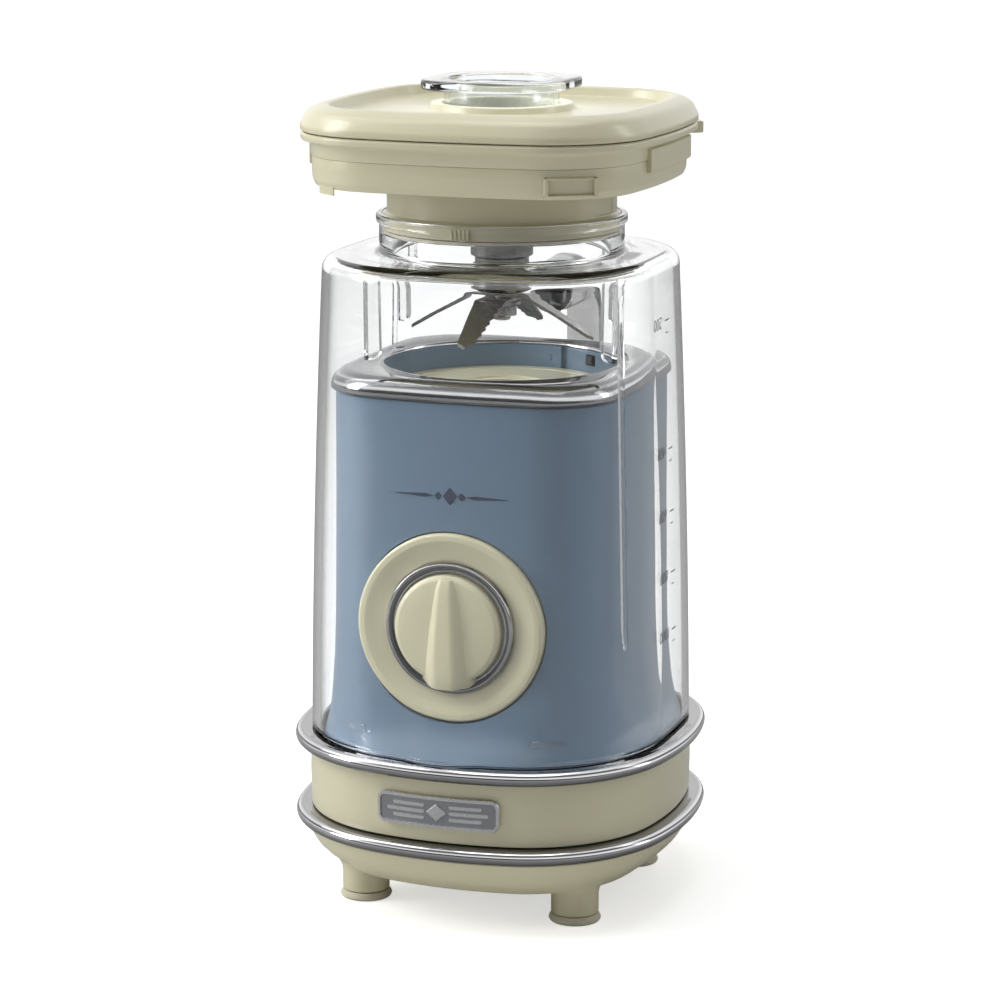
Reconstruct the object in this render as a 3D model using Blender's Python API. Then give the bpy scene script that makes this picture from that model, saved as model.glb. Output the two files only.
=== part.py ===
"""Countertop blender in its stored arrangement: the jar stands upside down over the motor
base, the blade unit closes the jar's neck, and the lid with its measuring cap lies on top.

Units are metres, +Z is up, and the knob side faces -Y. Everything is modelled about the
object's upright axis and hangs on one empty, which puts the middle of the whole footprint
at the world origin and the feet on the ground. Heights are measured from a datum plane
inside the legs, just under the tray."""

import math

import bmesh
import bpy
from mathutils import Matrix, Vector

# ---- driving dimensions -------------------------------------------------------------
GAP = 0.0003                # clearance between pieces that touch

# rounded-square plan of the base: bowed sides and broad corners
BASE_SIDE_RADIUS = 0.118
BASE_CORNER_INSET = 0.0152

# facets along each bowed side and round each corner of a rounded-square plan
FINE = (4, 6)
MEDIUM = (4, 5)
COARSE = (2, 5)

LEG_DROP = 0.0055           # the feet stand this far below the datum plane of all heights
RING_HALF = 0.0673          # half width over the chrome beads
BEAD_RADIUS = 0.0024
RING_INNER_HALF = 0.0580
LOWER_RING_Z = 0.0207
UPPER_RING_Z = 0.0474
RING_HEIGHT = 2 * BEAD_RADIUS
BAND_HALF = 0.0621
BAND_WALL = 0.0026
PAN_TOP_HALF = 0.0640
PAN_BOTTOM_HALF = 0.0500
PAN_WALL = 0.0024
PAN_BOTTOM_Z = 0.0064
GLAND_X = -0.0200
GLAND_Z = 0.0365
FOOT_BOTTOM_Z = -LEG_DROP
FOOT_X = 0.0372
FOOT_Y = 0.0324
FOOT_RADIUS = 0.00875
FOOT_HEIGHT = 0.0026
LEG_RADIUS = 0.0079
LEG_TOP_Z = 0.0112          # the legs end as bosses above the floor of the tray
LOUVRE_PLACES = (-0.0120, -0.0065, -0.0010, 0.0045, 0.0100)

# motor housing and the well on its top
HOUSING_BOTTOM_Z = 0.0265
HOUSING_TOP_Z = 0.1688
HOUSING_WALL = 0.0022
HOUSING_SIDE_RADIUS = 0.297
HOUSING_CORNER_RADIUS = 0.024
TRIM_BOTTOM_Z = HOUSING_TOP_Z + GAP
TRIM_TOP_Z = 0.1754
TRIM_HALF = 0.0498
WELL_RADIUS = 0.0392
WELL_WALL = 0.0018
DECK_TOP_Z = 0.1665
DECK_THICKNESS = 0.0025

# control knob on the front
KNOB_Z = 0.0950
BEZEL_RADIUS = 0.0314
BEZEL_BACK_Y = -0.0458
KNOB_RING_RADIUS = 0.0217
KNOB_RADIUS = 0.0180
KNOB_POINTER_REACH = 0.0195
SWITCH_SHAFT_RADIUS = 0.0030

# motor
SHAFT_RADIUS = 0.0040
SHAFT_BOTTOM_Z = 0.0130
BEARING_RADIUS = 0.0092
SHAFT_TOP_Z = 0.1645
COUPLING_RADIUS = 0.0098
STATOR_HALF = 0.0290
STATOR_BORE = 0.0196
STATOR_BOTTOM_Z = 0.0620
STATOR_TOP_Z = 0.1020
THROUGH_BOLT_PLACE = 0.0235
FRAME_Z = 0.0268
FRAME_THICKNESS = 0.0025
UPPER_BRACKET_Z = 0.1180

# interlock slider in the wall of the well
INTERLOCK_ANGLE = math.radians(57.7)
INTERLOCK_Z = 0.1707
INTERLOCK_TRAVEL = 0.0025

# jar
JAR_MOUTH_Z = 0.0526
JAR_WALL = 0.0028
JAR_SIDE_RADIUS = 0.55
JAR_CORNER_INSET = 0.0120
SHOULDER_Z = 0.2110
NECK_RADIUS = 0.0410
NECK_TOP_Z = 0.2230
THROAT_RADIUS = 0.0365
SEAL_SEAT_Z = 0.2183
SPOUT_DEPTH = 0.0042
SPOUT_HALF_WIDTH = 0.0170
SPOUT_HEIGHT = 0.0700
HANDLE_HALF_WIDTH = 0.0070
HANDLE_OUTER_Y = 0.0993
HANDLE_BOSS_Z = 0.1907
HANDLE_FOOT_Z = 0.0900
HANDLE_BAR = 0.0090
DEPTH_OFFSET = (RING_HALF - HANDLE_OUTER_Y) / 2     # y of the upright axis in the world

# blade unit, in the jar's neck
FLANGE_RADIUS = 0.0393
FLANGE_Z = 0.2197
FLANGE_TOP_Z = 0.2245
COLLAR_RADIUS = 0.0380
COLLAR_TOP_Z = 0.2400
DRIVEN_TOP_Z = 0.2408
HUB_BOTTOM_Z = 0.1987
HUB_RADIUS = 0.0098
SPINDLE_RADIUS = 0.0040
BLADE_REACH = 0.0325
BLADE_DROP = 0.0130
BLADE_YAW = math.radians(-2.4)

# lid and measuring cap
LID_SEAM_Z = 0.2532         # parting line of the two halves of the lid
SKIRT_DEPTH = 0.0174        # from the parting line down to the edge of the skirt
COVER_HEIGHT = 0.0087       # and up to the ridge of the cover
LID_HALF = 0.0600
LID_SIDE_RADIUS = 0.25
LID_CORNER_INSET = 0.0260
CAP_HOLE_RADIUS = 0.0197
CAP_STEM_RADIUS = 0.0190
CAP_WALL = 0.0016
CAP_FLANGE_HALF = 0.0241
CAP_FLANGE_Z = 0.2655
CAP_TOP_Z = 0.2687
CAP_BOTTOM_Z = 0.2432

# ---- colours: base colour, roughness, metallic, transmission -------------------------
FINISHES = {
    "ivory": ((0.72, 0.69, 0.55), 0.28, 0.0, 0.0),
    "blue": ((0.26, 0.38, 0.52), 0.30, 0.0, 0.0),
    "chrome": ((0.86, 0.86, 0.87), 0.07, 1.0, 0.0),
    "clear": ((0.90, 0.93, 0.95), 0.04, 0.0, 0.92),
    "steel": ((0.62, 0.62, 0.63), 0.25, 1.0, 0.0),
    "copper": ((0.72, 0.33, 0.16), 0.35, 1.0, 0.0),
    "lamination": ((0.33, 0.34, 0.36), 0.45, 1.0, 0.0),
    "carbon": ((0.03, 0.03, 0.03), 0.60, 0.0, 0.0),
    "black_plastic": ((0.03, 0.03, 0.035), 0.45, 0.0, 0.0),
    "bronze": ((0.60, 0.43, 0.22), 0.40, 1.0, 0.0),
    "rubber": ((0.62, 0.60, 0.52), 0.70, 0.0, 0.0),
    "silicone": ((0.80, 0.80, 0.78), 0.50, 0.0, 0.0),
}


def clear_scene():
    for old in list(bpy.data.objects):
        bpy.data.objects.remove(old, do_unlink=True)


def finish(name):
    """The shared material of one finish."""
    found = bpy.data.materials.get(name)
    if found:
        return found
    colour, roughness, metallic, transmission = FINISHES[name]
    made = bpy.data.materials.new(name)
    made.use_nodes = True
    shader = made.node_tree.nodes["Principled BSDF"]
    shader.inputs["Base Color"].default_value = (*colour, 1.0)
    shader.inputs["Roughness"].default_value = roughness
    shader.inputs["Metallic"].default_value = metallic
    shader.inputs["Transmission Weight"].default_value = transmission
    return made


def add_part(name, bm, finish_name, parent, location=(0, 0, 0), turn=(0, 0, 0)):
    """Turns a bmesh into a named, shaded object with its faces pointing out."""
    bmesh.ops.remove_doubles(bm, verts=bm.verts, dist=1e-7)
    bmesh.ops.recalc_face_normals(bm, faces=bm.faces)
    mesh = bpy.data.meshes.new(name)
    bm.to_mesh(mesh)
    bm.free()
    mesh.shade_smooth()
    mesh.set_sharp_from_angle(angle=math.radians(32))
    mesh.materials.append(finish(finish_name))
    part = bpy.data.objects.new(name, mesh)
    part.location = location
    part.rotation_euler = turn
    part.parent = parent
    bpy.context.collection.objects.link(part)
    return part


def add_empty(name, parent, location=(0, 0, 0)):
    empty = bpy.data.objects.new(name, None)
    empty.location = location
    empty.parent = parent
    bpy.context.collection.objects.link(empty)
    return empty


def combine(part, tool, operation="DIFFERENCE"):
    """Adds an exact Boolean and hides the tool object."""
    modifier = part.modifiers.new(operation.lower(), "BOOLEAN")
    modifier.operation = operation
    modifier.solver = "EXACT"
    modifier.object = tool
    tool.hide_render = True
    tool.display_type = "WIRE"


# ---- outlines ------------------------------------------------------------------------
def rounded_square(half, side_radius, corner_radius, steps):
    """Plan outline with bowed sides: four wide arcs joined by four corner arcs."""
    side_steps, corner_steps = steps
    sweep = math.pi / 4 + math.asin(
        (half - side_radius) / (math.sqrt(2) * (side_radius - corner_radius)))
    side_centre = half - side_radius
    corner_centre = (side_radius - corner_radius) * math.sin(sweep)
    quarter = []
    for step in range(side_steps + 1):
        angle = -sweep + 2 * sweep * step / side_steps
        quarter.append((side_centre + side_radius * math.cos(angle),
                        side_radius * math.sin(angle)))
    for step in range(1, corner_steps):
        angle = sweep + (math.pi / 2 - 2 * sweep) * step / corner_steps
        quarter.append((corner_centre + corner_radius * math.cos(angle),
                        corner_centre + corner_radius * math.sin(angle)))
    points = []
    for turn in range(4):
        spin = Matrix.Rotation(turn * math.pi / 2, 2)
        points += [spin @ Vector(point) for point in quarter]
    return points


def base_outline(half):
    return rounded_square(half, BASE_SIDE_RADIUS, half - BASE_CORNER_INSET, MEDIUM)


def housing_outline(half):
    corner = HOUSING_CORNER_RADIUS + max(0.0, half - 0.0500) * 3.0
    return rounded_square(half, HOUSING_SIDE_RADIUS, corner, COARSE)


def jar_outline(half):
    return rounded_square(half, JAR_SIDE_RADIUS, half - JAR_CORNER_INSET, FINE)


def lid_outline(half):
    return rounded_square(half, LID_SIDE_RADIUS, half - LID_CORNER_INSET, COARSE)


def round_outline(radius, steps=COARSE):
    """Circle with as many points as a rounded square, at nearly the same bearings."""
    plan = rounded_square(0.050, BASE_SIDE_RADIUS, 0.035, steps)
    return [point.normalized() * radius for point in plan]


def level(points, z):
    return [Vector((point[0], point[1], z)) for point in points]


def loft(loops, closed=False):
    """Skins a list of equal loops. A closed loft joins its last loop to its first one,
    and an open loft gets a cap at both ends."""
    bm = bmesh.new()
    rows = [[bm.verts.new(point) for point in loop] for loop in loops]
    count = len(rows[0])
    pairs = list(zip(rows, rows[1:]))
    if closed:
        pairs.append((rows[-1], rows[0]))
    for lower, upper in pairs:
        for i in range(count):
            j = (i + 1) % count
            bm.faces.new((lower[i], lower[j], upper[j], upper[i]))
    if not closed:
        bm.faces.new(rows[0])
        bm.faces.new(rows[-1])
    return bm


def turned(profile, segments):
    """Spins a closed (radius, height) profile once round the local Z axis."""
    bm = bmesh.new()
    verts = [bm.verts.new((radius, 0, height)) for radius, height in profile]
    edges = [bm.edges.new((verts[i], verts[i - 1])) for i in range(len(verts))]
    bmesh.ops.spin(bm, geom=verts + edges, axis=(0, 0, 1), cent=(0, 0, 0),
                   angle=2 * math.pi, steps=segments, use_merge=True)
    bmesh.ops.remove_doubles(bm, verts=bm.verts, dist=1e-7)
    flat = [face for face in bm.faces if face.calc_area() < 1e-14]
    bmesh.ops.delete(bm, geom=flat, context="FACES")
    loose = [edge for edge in bm.edges if not edge.link_faces]
    bmesh.ops.delete(bm, geom=loose, context="EDGES")
    return bm


def box(low, high):
    bm = bmesh.new()
    centre = (Vector(low) + Vector(high)) / 2
    size = Vector(high) - Vector(low)
    place = Matrix.Translation(centre) @ Matrix.Diagonal((*size, 1.0))
    bmesh.ops.create_cube(bm, size=1.0, matrix=place)
    return bm


def rod(radius, bottom, top, segments=16, x=0.0, y=0.0):
    bm = bmesh.new()
    place = Matrix.Translation((x, y, (bottom + top) / 2))
    bmesh.ops.create_cone(bm, cap_ends=True, segments=segments, radius1=radius,
                          radius2=radius, depth=top - bottom, matrix=place)
    return bm


def merged(*pieces):
    """Puts several bmeshes into one, for a tool object with many separate solids."""
    result = bmesh.new()
    for piece in pieces:
        mesh = bpy.data.meshes.new("piece")
        piece.to_mesh(mesh)
        piece.free()
        result.from_mesh(mesh)
        bpy.data.meshes.remove(mesh)
    return result


def four_corners(x, y):
    return [(sx * x, sy * y) for sx in (-1, 1) for sy in (-1, 1)]


# ---- base ----------------------------------------------------------------------------
def add_bottom_pan(root):
    """Bowl-shaped tray with four round legs, louvres, floor vents and screw wells."""
    top = LOWER_RING_Z - GAP
    floor = PAN_BOTTOM_Z + PAN_WALL
    outer = [(PAN_BOTTOM_HALF, PAN_BOTTOM_Z), (0.0532, 0.0074), (0.0575, 0.0102),
             (0.0610, 0.0138), (0.0631, 0.0174), (PAN_TOP_HALF, top)]
    inner = [(PAN_TOP_HALF - PAN_WALL, top), (0.0588, 0.0148), (0.0510, floor)]
    loops = [level(base_outline(half), z) for half, z in outer + inner]
    pan = add_part("bottom_pan", loft(loops), "ivory", root)
    leg_bottom = FOOT_BOTTOM_Z + FOOT_HEIGHT + GAP
    places = four_corners(FOOT_X, FOOT_Y)
    legs = [rod(LEG_RADIUS, leg_bottom, LEG_TOP_Z, 16, x, y) for x, y in places]
    combine(pan, add_part("leg_tool", merged(*legs), "ivory", root), "UNION")
    wells = [rod(0.0036, FOOT_BOTTOM_Z, 0.0080, 8, x, y) for x, y in places]
    bores = [rod(0.0019, 0.0070, 0.0140, 6, x, y) for x, y in places]
    combine(pan, add_part("well_tool", merged(*wells), "ivory", root))
    combine(pan, add_part("bore_tool", merged(*bores), "ivory", root))
    louvres = [box((sign * 0.060 - 0.008, y - 0.0011, 0.0100), (sign * 0.060 + 0.008, y + 0.0011, 0.0164))
               for sign in (-1, 1) for y in LOUVRE_PLACES]
    combine(pan, add_part("louvre_tool", merged(*louvres), "ivory", root))
    vents = [box((-0.018, y - 0.0012, PAN_BOTTOM_Z - 0.002), (0.018, y + 0.0012, floor + 0.002))
             for y in (-0.010, 0.0, 0.010)]
    combine(pan, add_part("vent_tool", merged(*vents), "ivory", root))


def add_feet(root):
    profile = [(0, 0), (0.0080, 0), (FOOT_RADIUS, 0.0010), (0.0082, 0.0020),
               (0.0077, FOOT_HEIGHT), (0, FOOT_HEIGHT)]
    names = ("foot_front_left", "foot_rear_left", "foot_front_right", "foot_rear_right")
    for name, (x, y) in zip(names, four_corners(FOOT_X, FOOT_Y)):
        add_part(name, turned(profile, 16), "rubber", root, (x, y, FOOT_BOTTOM_Z))


def add_chrome_ring(name, bottom, root):
    """Half-round bead with a flat web that is clamped between two mouldings."""
    centre_half = RING_HALF - BEAD_RADIUS
    middle = bottom + BEAD_RADIUS
    section = [(RING_INNER_HALF, bottom + 0.0003)]
    for step in range(5):
        angle = math.radians(-90 + 45 * step)
        section.append((centre_half + BEAD_RADIUS * math.cos(angle),
                        middle + BEAD_RADIUS * math.sin(angle)))
    section.append((RING_INNER_HALF, bottom + RING_HEIGHT - 0.0003))
    loops = [level(base_outline(half), z) for half, z in section]
    add_part(name, loft(loops, closed=True), "chrome", root)


def add_base_band(root):
    bottom = LOWER_RING_Z + RING_HEIGHT + GAP
    top = UPPER_RING_Z - GAP
    inner = BAND_HALF - BAND_WALL
    section = [(BAND_HALF, bottom), (BAND_HALF + 0.0002, (bottom + top) / 2), (BAND_HALF, top),
               (inner, top), (inner, bottom)]
    loops = [level(base_outline(half), z) for half, z in section]
    band = add_part("base_band", loft(loops, closed=True), "ivory", root)
    combine(band, gland_hole("band_hole_tool", root))


def gland_hole(name, root):
    """Tool for the hole that the cord gland passes through."""
    return add_part(name, rod(0.0053, -0.012, 0.006, 12), "ivory", root,
                    (GLAND_X, BAND_HALF, GLAND_Z), (-math.pi / 2, 0, 0))


def add_cord_gland(root):
    """Flanged bush in the back of the band. The mains lead would leave through it."""
    profile = [(0.0024, -0.0090), (0.0049, -0.0090), (0.0049, 0.0004), (0.0068, 0.0004),
               (0.0068, 0.0020), (0.0044, 0.0060), (0.0032, 0.0060), (0.0024, 0.0050)]
    add_part("cord_gland", turned(profile, 12), "black_plastic", root,
             (GLAND_X, BAND_HALF - 0.0001, GLAND_Z), (-math.pi / 2, 0, 0))


def add_name_plate(root):
    """Plain badge, bent to the band it is fixed to."""
    length, height, thickness = 0.0420, 0.0106, 0.0013
    seat = BAND_HALF + 0.0002 + GAP
    section = [(seat, 0.028), (seat + thickness, 0.028), (seat + thickness, 0.045), (seat, 0.045)]
    loops = [level(base_outline(half), z) for half, z in section]
    plate = add_part("name_plate", loft(loops, closed=True), "chrome", root)
    z = (LOWER_RING_Z + UPPER_RING_Z + RING_HEIGHT) / 2
    stamp = add_part("plate_tool", rounded_plate(length, height, 0.0024), "chrome", root,
                     (0, -0.060, z), (math.pi / 2, 0, 0))
    combine(plate, stamp, "INTERSECT")


def rounded_plate(length, height, corner, depth=0.010):
    """Flat plate in local XY with round corners, extruded along Z on both sides."""
    outline = []
    for turn, (sx, sy) in enumerate(((1, 1), (-1, 1), (-1, -1), (1, -1))):
        for step in range(4):
            angle = math.radians(90 * turn + 30 * step)
            outline.append(Vector((sx * (length / 2 - corner) + corner * math.cos(angle),
                                   sy * (height / 2 - corner) + corner * math.sin(angle))))
    return loft([level(outline, -depth / 2), level(outline, depth / 2)])


# ---- motor housing and well ----------------------------------------------------------
def housing_half(z):
    """Half width of the housing: straight above, flaring out to the upper ring below."""
    stations = [(HOUSING_BOTTOM_Z, 0.0572), (0.0505, 0.0572), (0.0535, 0.0556), (0.0585, 0.0530),
                (0.0660, 0.0511), (0.0800, 0.0497), (0.1200, 0.0490), (HOUSING_TOP_Z, 0.0486)]
    for (low, first), (high, last) in zip(stations, stations[1:]):
        if z <= high:
            return first + (last - first) * (z - low) / (high - low)
    return stations[-1][1]


HOUSING_LEVELS = (HOUSING_BOTTOM_Z, 0.0505, 0.0535, 0.0585, 0.0660, 0.0800, 0.1200, HOUSING_TOP_Z)


def add_motor_housing(root):
    loops = [level(housing_outline(housing_half(z)), z) for z in HOUSING_LEVELS]
    inner_levels = (HOUSING_TOP_Z, 0.0800, 0.0585, 0.0505, HOUSING_BOTTOM_Z)
    loops += [level(housing_outline(housing_half(z) - HOUSING_WALL), z) for z in inner_levels]
    housing = add_part("motor_housing", loft(loops, closed=True), "blue", root)
    opening = add_part("bezel_hole_tool", rod(BEZEL_RADIUS + 2 * GAP, -0.012, 0.012, 32), "blue", root,
                       (0, -0.047, KNOB_Z), (math.pi / 2, 0, 0))
    combine(housing, opening)
    combine(housing, gland_hole("housing_hole_tool", root))


def add_top_trim(root):
    """Chrome cap round the top of the housing, with the round opening of the well."""
    edge = 0.0042
    plate = 0.0012
    hole = round_outline(WELL_RADIUS + 0.0002)
    under = TRIM_TOP_Z - plate
    loops = [level(hole, under), level(hole, TRIM_TOP_Z)]
    for step in range(4):
        angle = math.radians(90 - 30 * step)
        half = TRIM_HALF - edge + edge * math.cos(angle)
        loops.append(level(housing_outline(half), TRIM_TOP_Z - edge + edge * math.sin(angle)))
    loops.append(level(housing_outline(TRIM_HALF), TRIM_BOTTOM_Z))
    inner = TRIM_HALF - 0.0016
    loops.append(level(housing_outline(inner), TRIM_BOTTOM_Z))
    loops.append(level(housing_outline(inner - 0.0022), under))
    add_part("top_trim", loft(loops, closed=True), "chrome", root)


def add_well_wall(root):
    outer = WELL_RADIUS + WELL_WALL
    bottom = DECK_TOP_Z - DECK_THICKNESS - 0.0020
    top = TRIM_TOP_Z - 0.0012 - GAP
    profile = [(WELL_RADIUS, bottom), (outer, bottom), (outer, top), (WELL_RADIUS, top)]
    wall = add_part("well_wall", turned(profile, 36), "blue", root)
    slot = box((0.036, -0.0024, -0.0019), (0.046, 0.0024, 0.0019))
    tool = add_part("interlock_slot_tool", slot, "blue", root, (0, 0, INTERLOCK_Z),
                    (0, 0, INTERLOCK_ANGLE))
    combine(wall, tool)


def add_well_deck(root):
    bottom = DECK_TOP_Z - DECK_THICKNESS
    edge = WELL_RADIUS - GAP
    hole = COUPLING_RADIUS + 0.0024
    profile = [(hole, bottom), (edge, bottom), (edge, DECK_TOP_Z), (0.0165, DECK_TOP_Z),
               (0.0155, DECK_TOP_Z + 0.0008), (0.0145, DECK_TOP_Z), (hole, DECK_TOP_Z)]
    add_part("well_deck", turned(profile, 28), "ivory", root)


def add_interlock(root):
    """Small slider that the seated blade unit pushes outwards, and the switch behind it."""
    turn = (0, 0, INTERLOCK_ANGLE)
    place = (0, 0, INTERLOCK_Z)
    slider = box((WELL_RADIUS - 0.0012, -0.0020, -0.0015), (0.0436, 0.0020, 0.0015))
    part = add_part("interlock_slider", slider, "black_plastic", root, place, turn)
    bevel(part, 0.0005, 1)
    switch = box((0.0436 + INTERLOCK_TRAVEL + GAP, -0.0035, -0.0080), (0.0500, 0.0035, 0.0015))
    add_part("interlock_switch", switch, "black_plastic", root, place, turn)


def bevel(part, width, segments):
    modifier = part.modifiers.new("rounding", "BEVEL")
    modifier.width = width
    modifier.segments = segments
    modifier.limit_method = "ANGLE"
    modifier.angle_limit = math.radians(40)


# ---- motor ---------------------------------------------------------------------------
def add_base_frame(root):
    """Plate across the bottom of the housing: carries the motor and takes the base screws."""
    half = 0.0572 - HOUSING_WALL - GAP
    top = FRAME_Z + FRAME_THICKNESS
    loops = [level(housing_outline(half), FRAME_Z), level(housing_outline(half), top)]
    frame = add_part("base_frame", loft(loops), "black_plastic", root)
    posts = [rod(0.0042, 0.0119, top - 0.0005, 8, x, y) for x, y in four_corners(FOOT_X, FOOT_Y)]
    combine(frame, add_part("post_tool", merged(*posts), "black_plastic", root), "UNION")
    low, high = FRAME_Z - 0.005, top + 0.005
    holes = [rod(0.0018, 0.0110, 0.0250, 8, x, y) for x, y in four_corners(FOOT_X, FOOT_Y)]
    holes += [rod(0.0060, low, high, 10, x, y) for x, y in four_corners(0.0240, 0.0120)]
    holes.append(rod(BEARING_RADIUS + GAP, low, high, 16))
    combine(frame, add_part("frame_hole_tool", merged(*holes), "black_plastic", root))


def add_base_screws(root):
    profile = [(0, 0.0045), (0.0030, 0.0045), (0.0030, 0.0068), (0.0015, 0.0075),
               (0.0015, 0.0240), (0, 0.0240)]
    for index, (x, y) in enumerate(four_corners(FOOT_X, FOOT_Y), 1):
        add_part(f"base_screw_{index}", turned(profile, 12), "steel", root, (x, y, 0))


def add_stator(root):
    loops = [level(rounded_square(STATOR_HALF, 0.2, 0.006, COARSE), z)
             for z in (STATOR_BOTTOM_Z, STATOR_TOP_Z)]
    stator = add_part("stator", loft(loops), "lamination", root)
    middle = STATOR_BOTTOM_Z - 0.01
    top = STATOR_TOP_Z + 0.01
    place = THROUGH_BOLT_PLACE
    holes = [rod(STATOR_BORE, middle, top, 24), rod(0.0023, middle, top, 10, place, place),
             rod(0.0023, middle, top, 10, -place, -place)]
    combine(stator, add_part("stator_hole_tool", merged(*holes), "lamination", root))


def add_field_windings(root):
    """The parts of the field coils that stand out above and below the laminations."""
    for name, bottom in (("field_winding_upper", STATOR_TOP_Z + GAP),
                         ("field_winding_lower", STATOR_BOTTOM_Z - GAP - 0.0100)):
        profile = [(0.0206, bottom), (0.0280, bottom), (0.0286, bottom + 0.0030),
                   (0.0262, bottom + 0.0095), (0.0220, bottom + 0.0100), (0.0206, bottom + 0.0070)]
        add_part(name, turned(profile, 18), "copper", root)


def add_upper_bracket(root):
    """Bridge across the housing above the stator, with the seat of the upper bearing."""
    bottom = UPPER_BRACKET_Z
    bar = box((-0.0458, -0.0110, bottom), (0.0458, 0.0110, bottom + 0.0030))
    bracket = add_part("upper_bracket", bar, "steel", root)
    hub = rod(0.0135, bottom - 0.0040, bottom + 0.0070, 18)
    ears = box((-0.0275, -0.0275, bottom), (0.0275, 0.0275, bottom + 0.0030))
    combine(bracket, add_part("bracket_ear_tool", ears, "steel", root), "UNION")
    combine(bracket, add_part("bracket_hub_tool", hub, "steel", root), "UNION")
    place = THROUGH_BOLT_PLACE
    low, high = bottom - 0.01, bottom + 0.02
    holes = [rod(BEARING_RADIUS + GAP, low, high, 16), rod(0.0023, low, high, 10, place, place),
             rod(0.0023, low, high, 10, -place, -place)]
    combine(bracket, add_part("bracket_hole_tool", merged(*holes), "steel", root))


def add_through_bolts(root):
    top = UPPER_BRACKET_Z + 0.0030 + GAP
    profile = [(0, 0.0580), (0.0020, 0.0580), (0.0020, top), (0.0036, top),
               (0.0036, top + 0.0026), (0, top + 0.0026)]
    for name, sign in (("through_bolt_right", 1), ("through_bolt_left", -1)):
        place = sign * THROUGH_BOLT_PLACE
        add_part(name, turned(profile, 12), "steel", root, (place, place, 0))


def add_bearings(root):
    inner = SHAFT_RADIUS + 0.0001
    for name, bottom, height in (("upper_bearing", UPPER_BRACKET_Z - 0.0035, 0.0095),
                                 ("lower_bearing", FRAME_Z - 0.0012, 0.0055)):
        profile = [(inner, bottom), (BEARING_RADIUS, bottom), (BEARING_RADIUS, bottom + height),
                   (inner, bottom + height)]
        add_part(name, turned(profile, 16), "bronze", root)


def add_brushes(root):
    """Two carbon brushes in their tubes, one on each side of the commutator."""
    for side, sign in (("right", 1), ("left", -1)):
        turn = (0, 0, 0 if sign > 0 else math.pi)
        holder = box((0.0150, -0.0052, 0.0368), (0.0330, 0.0052, 0.0452))
        part = add_part(f"brush_holder_{side}", holder, "bronze", root, turn=turn)
        bore = box((0.0140, -0.0036, 0.0384), (0.0340, 0.0036, 0.0436))
        combine(part, add_part(f"brush_bore_tool_{side}", bore, "bronze", root, turn=turn))
        brush = box((0.0118, -0.0033, 0.0387), (0.0270, 0.0033, 0.0433))
        add_part(f"brush_{side}", brush, "carbon", root, turn=turn)


def add_motor_shaft(spin):
    profile = [(0, SHAFT_BOTTOM_Z), (SHAFT_RADIUS - 0.0005, SHAFT_BOTTOM_Z),
               (SHAFT_RADIUS, SHAFT_BOTTOM_Z + 0.0005), (SHAFT_RADIUS, SHAFT_TOP_Z - 0.0005),
               (SHAFT_RADIUS - 0.0005, SHAFT_TOP_Z), (0, SHAFT_TOP_Z)]
    add_part("motor_shaft", turned(profile, 14), "steel", spin)


def add_armature(spin):
    inner = SHAFT_RADIUS + GAP
    core = STATOR_BORE - 0.0006
    low, high = STATOR_BOTTOM_Z - 0.0005, STATOR_TOP_Z + 0.0005
    profile = [(inner, low - 0.0080), (0.0120, low - 0.0080), (0.0165, low - 0.0030),
               (0.0165, low), (core, low), (core, high), (0.0165, high),
               (0.0165, high + 0.0030), (0.0120, high + 0.0080), (inner, high + 0.0080)]
    add_part("armature", turned(profile, 18), "copper", spin)


def add_commutator(spin):
    inner = SHAFT_RADIUS + GAP
    profile = [(inner, 0.0345), (0.0114, 0.0345), (0.0114, 0.0470), (0.0128, 0.0476),
               (0.0128, 0.0500), (inner, 0.0500)]
    add_part("commutator", turned(profile, 16), "copper", spin)


def add_cooling_fan(spin):
    """Disc with straight radial blades on its underside, at the foot of the shaft."""
    inner = SHAFT_RADIUS + GAP
    profile = [(inner, 0.0138), (0.0075, 0.0138), (0.0075, 0.0212), (0.0270, 0.0212),
               (0.0270, 0.0224), (inner, 0.0224)]
    fan = add_part("cooling_fan", turned(profile, 20), "black_plastic", spin)
    blades = []
    count = 9
    for index in range(count):
        blade = box((0.0065, -0.0006, 0.0145), (0.0262, 0.0006, 0.0218))
        bmesh.ops.rotate(blade, verts=blade.verts, cent=(0, 0, 0),
                         matrix=Matrix.Rotation(2 * math.pi * index / count, 3, "Z"))
        blades.append(blade)
    combine(fan, add_part("fan_blade_tool", merged(*blades), "black_plastic", spin), "UNION")


def toothed_ring(radius, depth, teeth, bottom, top):
    """Disc with square teeth round its edge, for the two halves of the drive coupling."""
    outline = []
    for index in range(teeth):
        start = 2 * math.pi * index / teeth
        step = math.pi / teeth
        for offset, r in ((0.0, radius), (0.5, radius), (1.0, radius), (1.0, radius - depth),
                          (1.5, radius - depth), (2.0, radius - depth)):
            outline.append(Vector((r * math.cos(start + offset * step),
                                   r * math.sin(start + offset * step))))
    return loft([level(outline, bottom), level(outline, top)])


def add_drive_coupling(spin):
    """Toothed coupling on the shaft, sunk into the opening in the middle of the deck."""
    top = DECK_TOP_Z - GAP
    bottom = top - 0.0065
    coupling = add_part("drive_coupling", toothed_ring(COUPLING_RADIUS, 0.0022, 8, bottom, top),
                        "black_plastic", spin)
    bore = rod(SHAFT_RADIUS + GAP, bottom - 0.002, SHAFT_TOP_Z + GAP, 14)
    combine(coupling, add_part("drive_bore_tool", bore, "black_plastic", spin))


# ---- knob ----------------------------------------------------------------------------
KNOB_PLACE = (0, BEZEL_BACK_Y, KNOB_Z)
FACE_FRONT = (math.pi / 2, 0, 0)     # local +Z points out of the front of the housing


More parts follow.
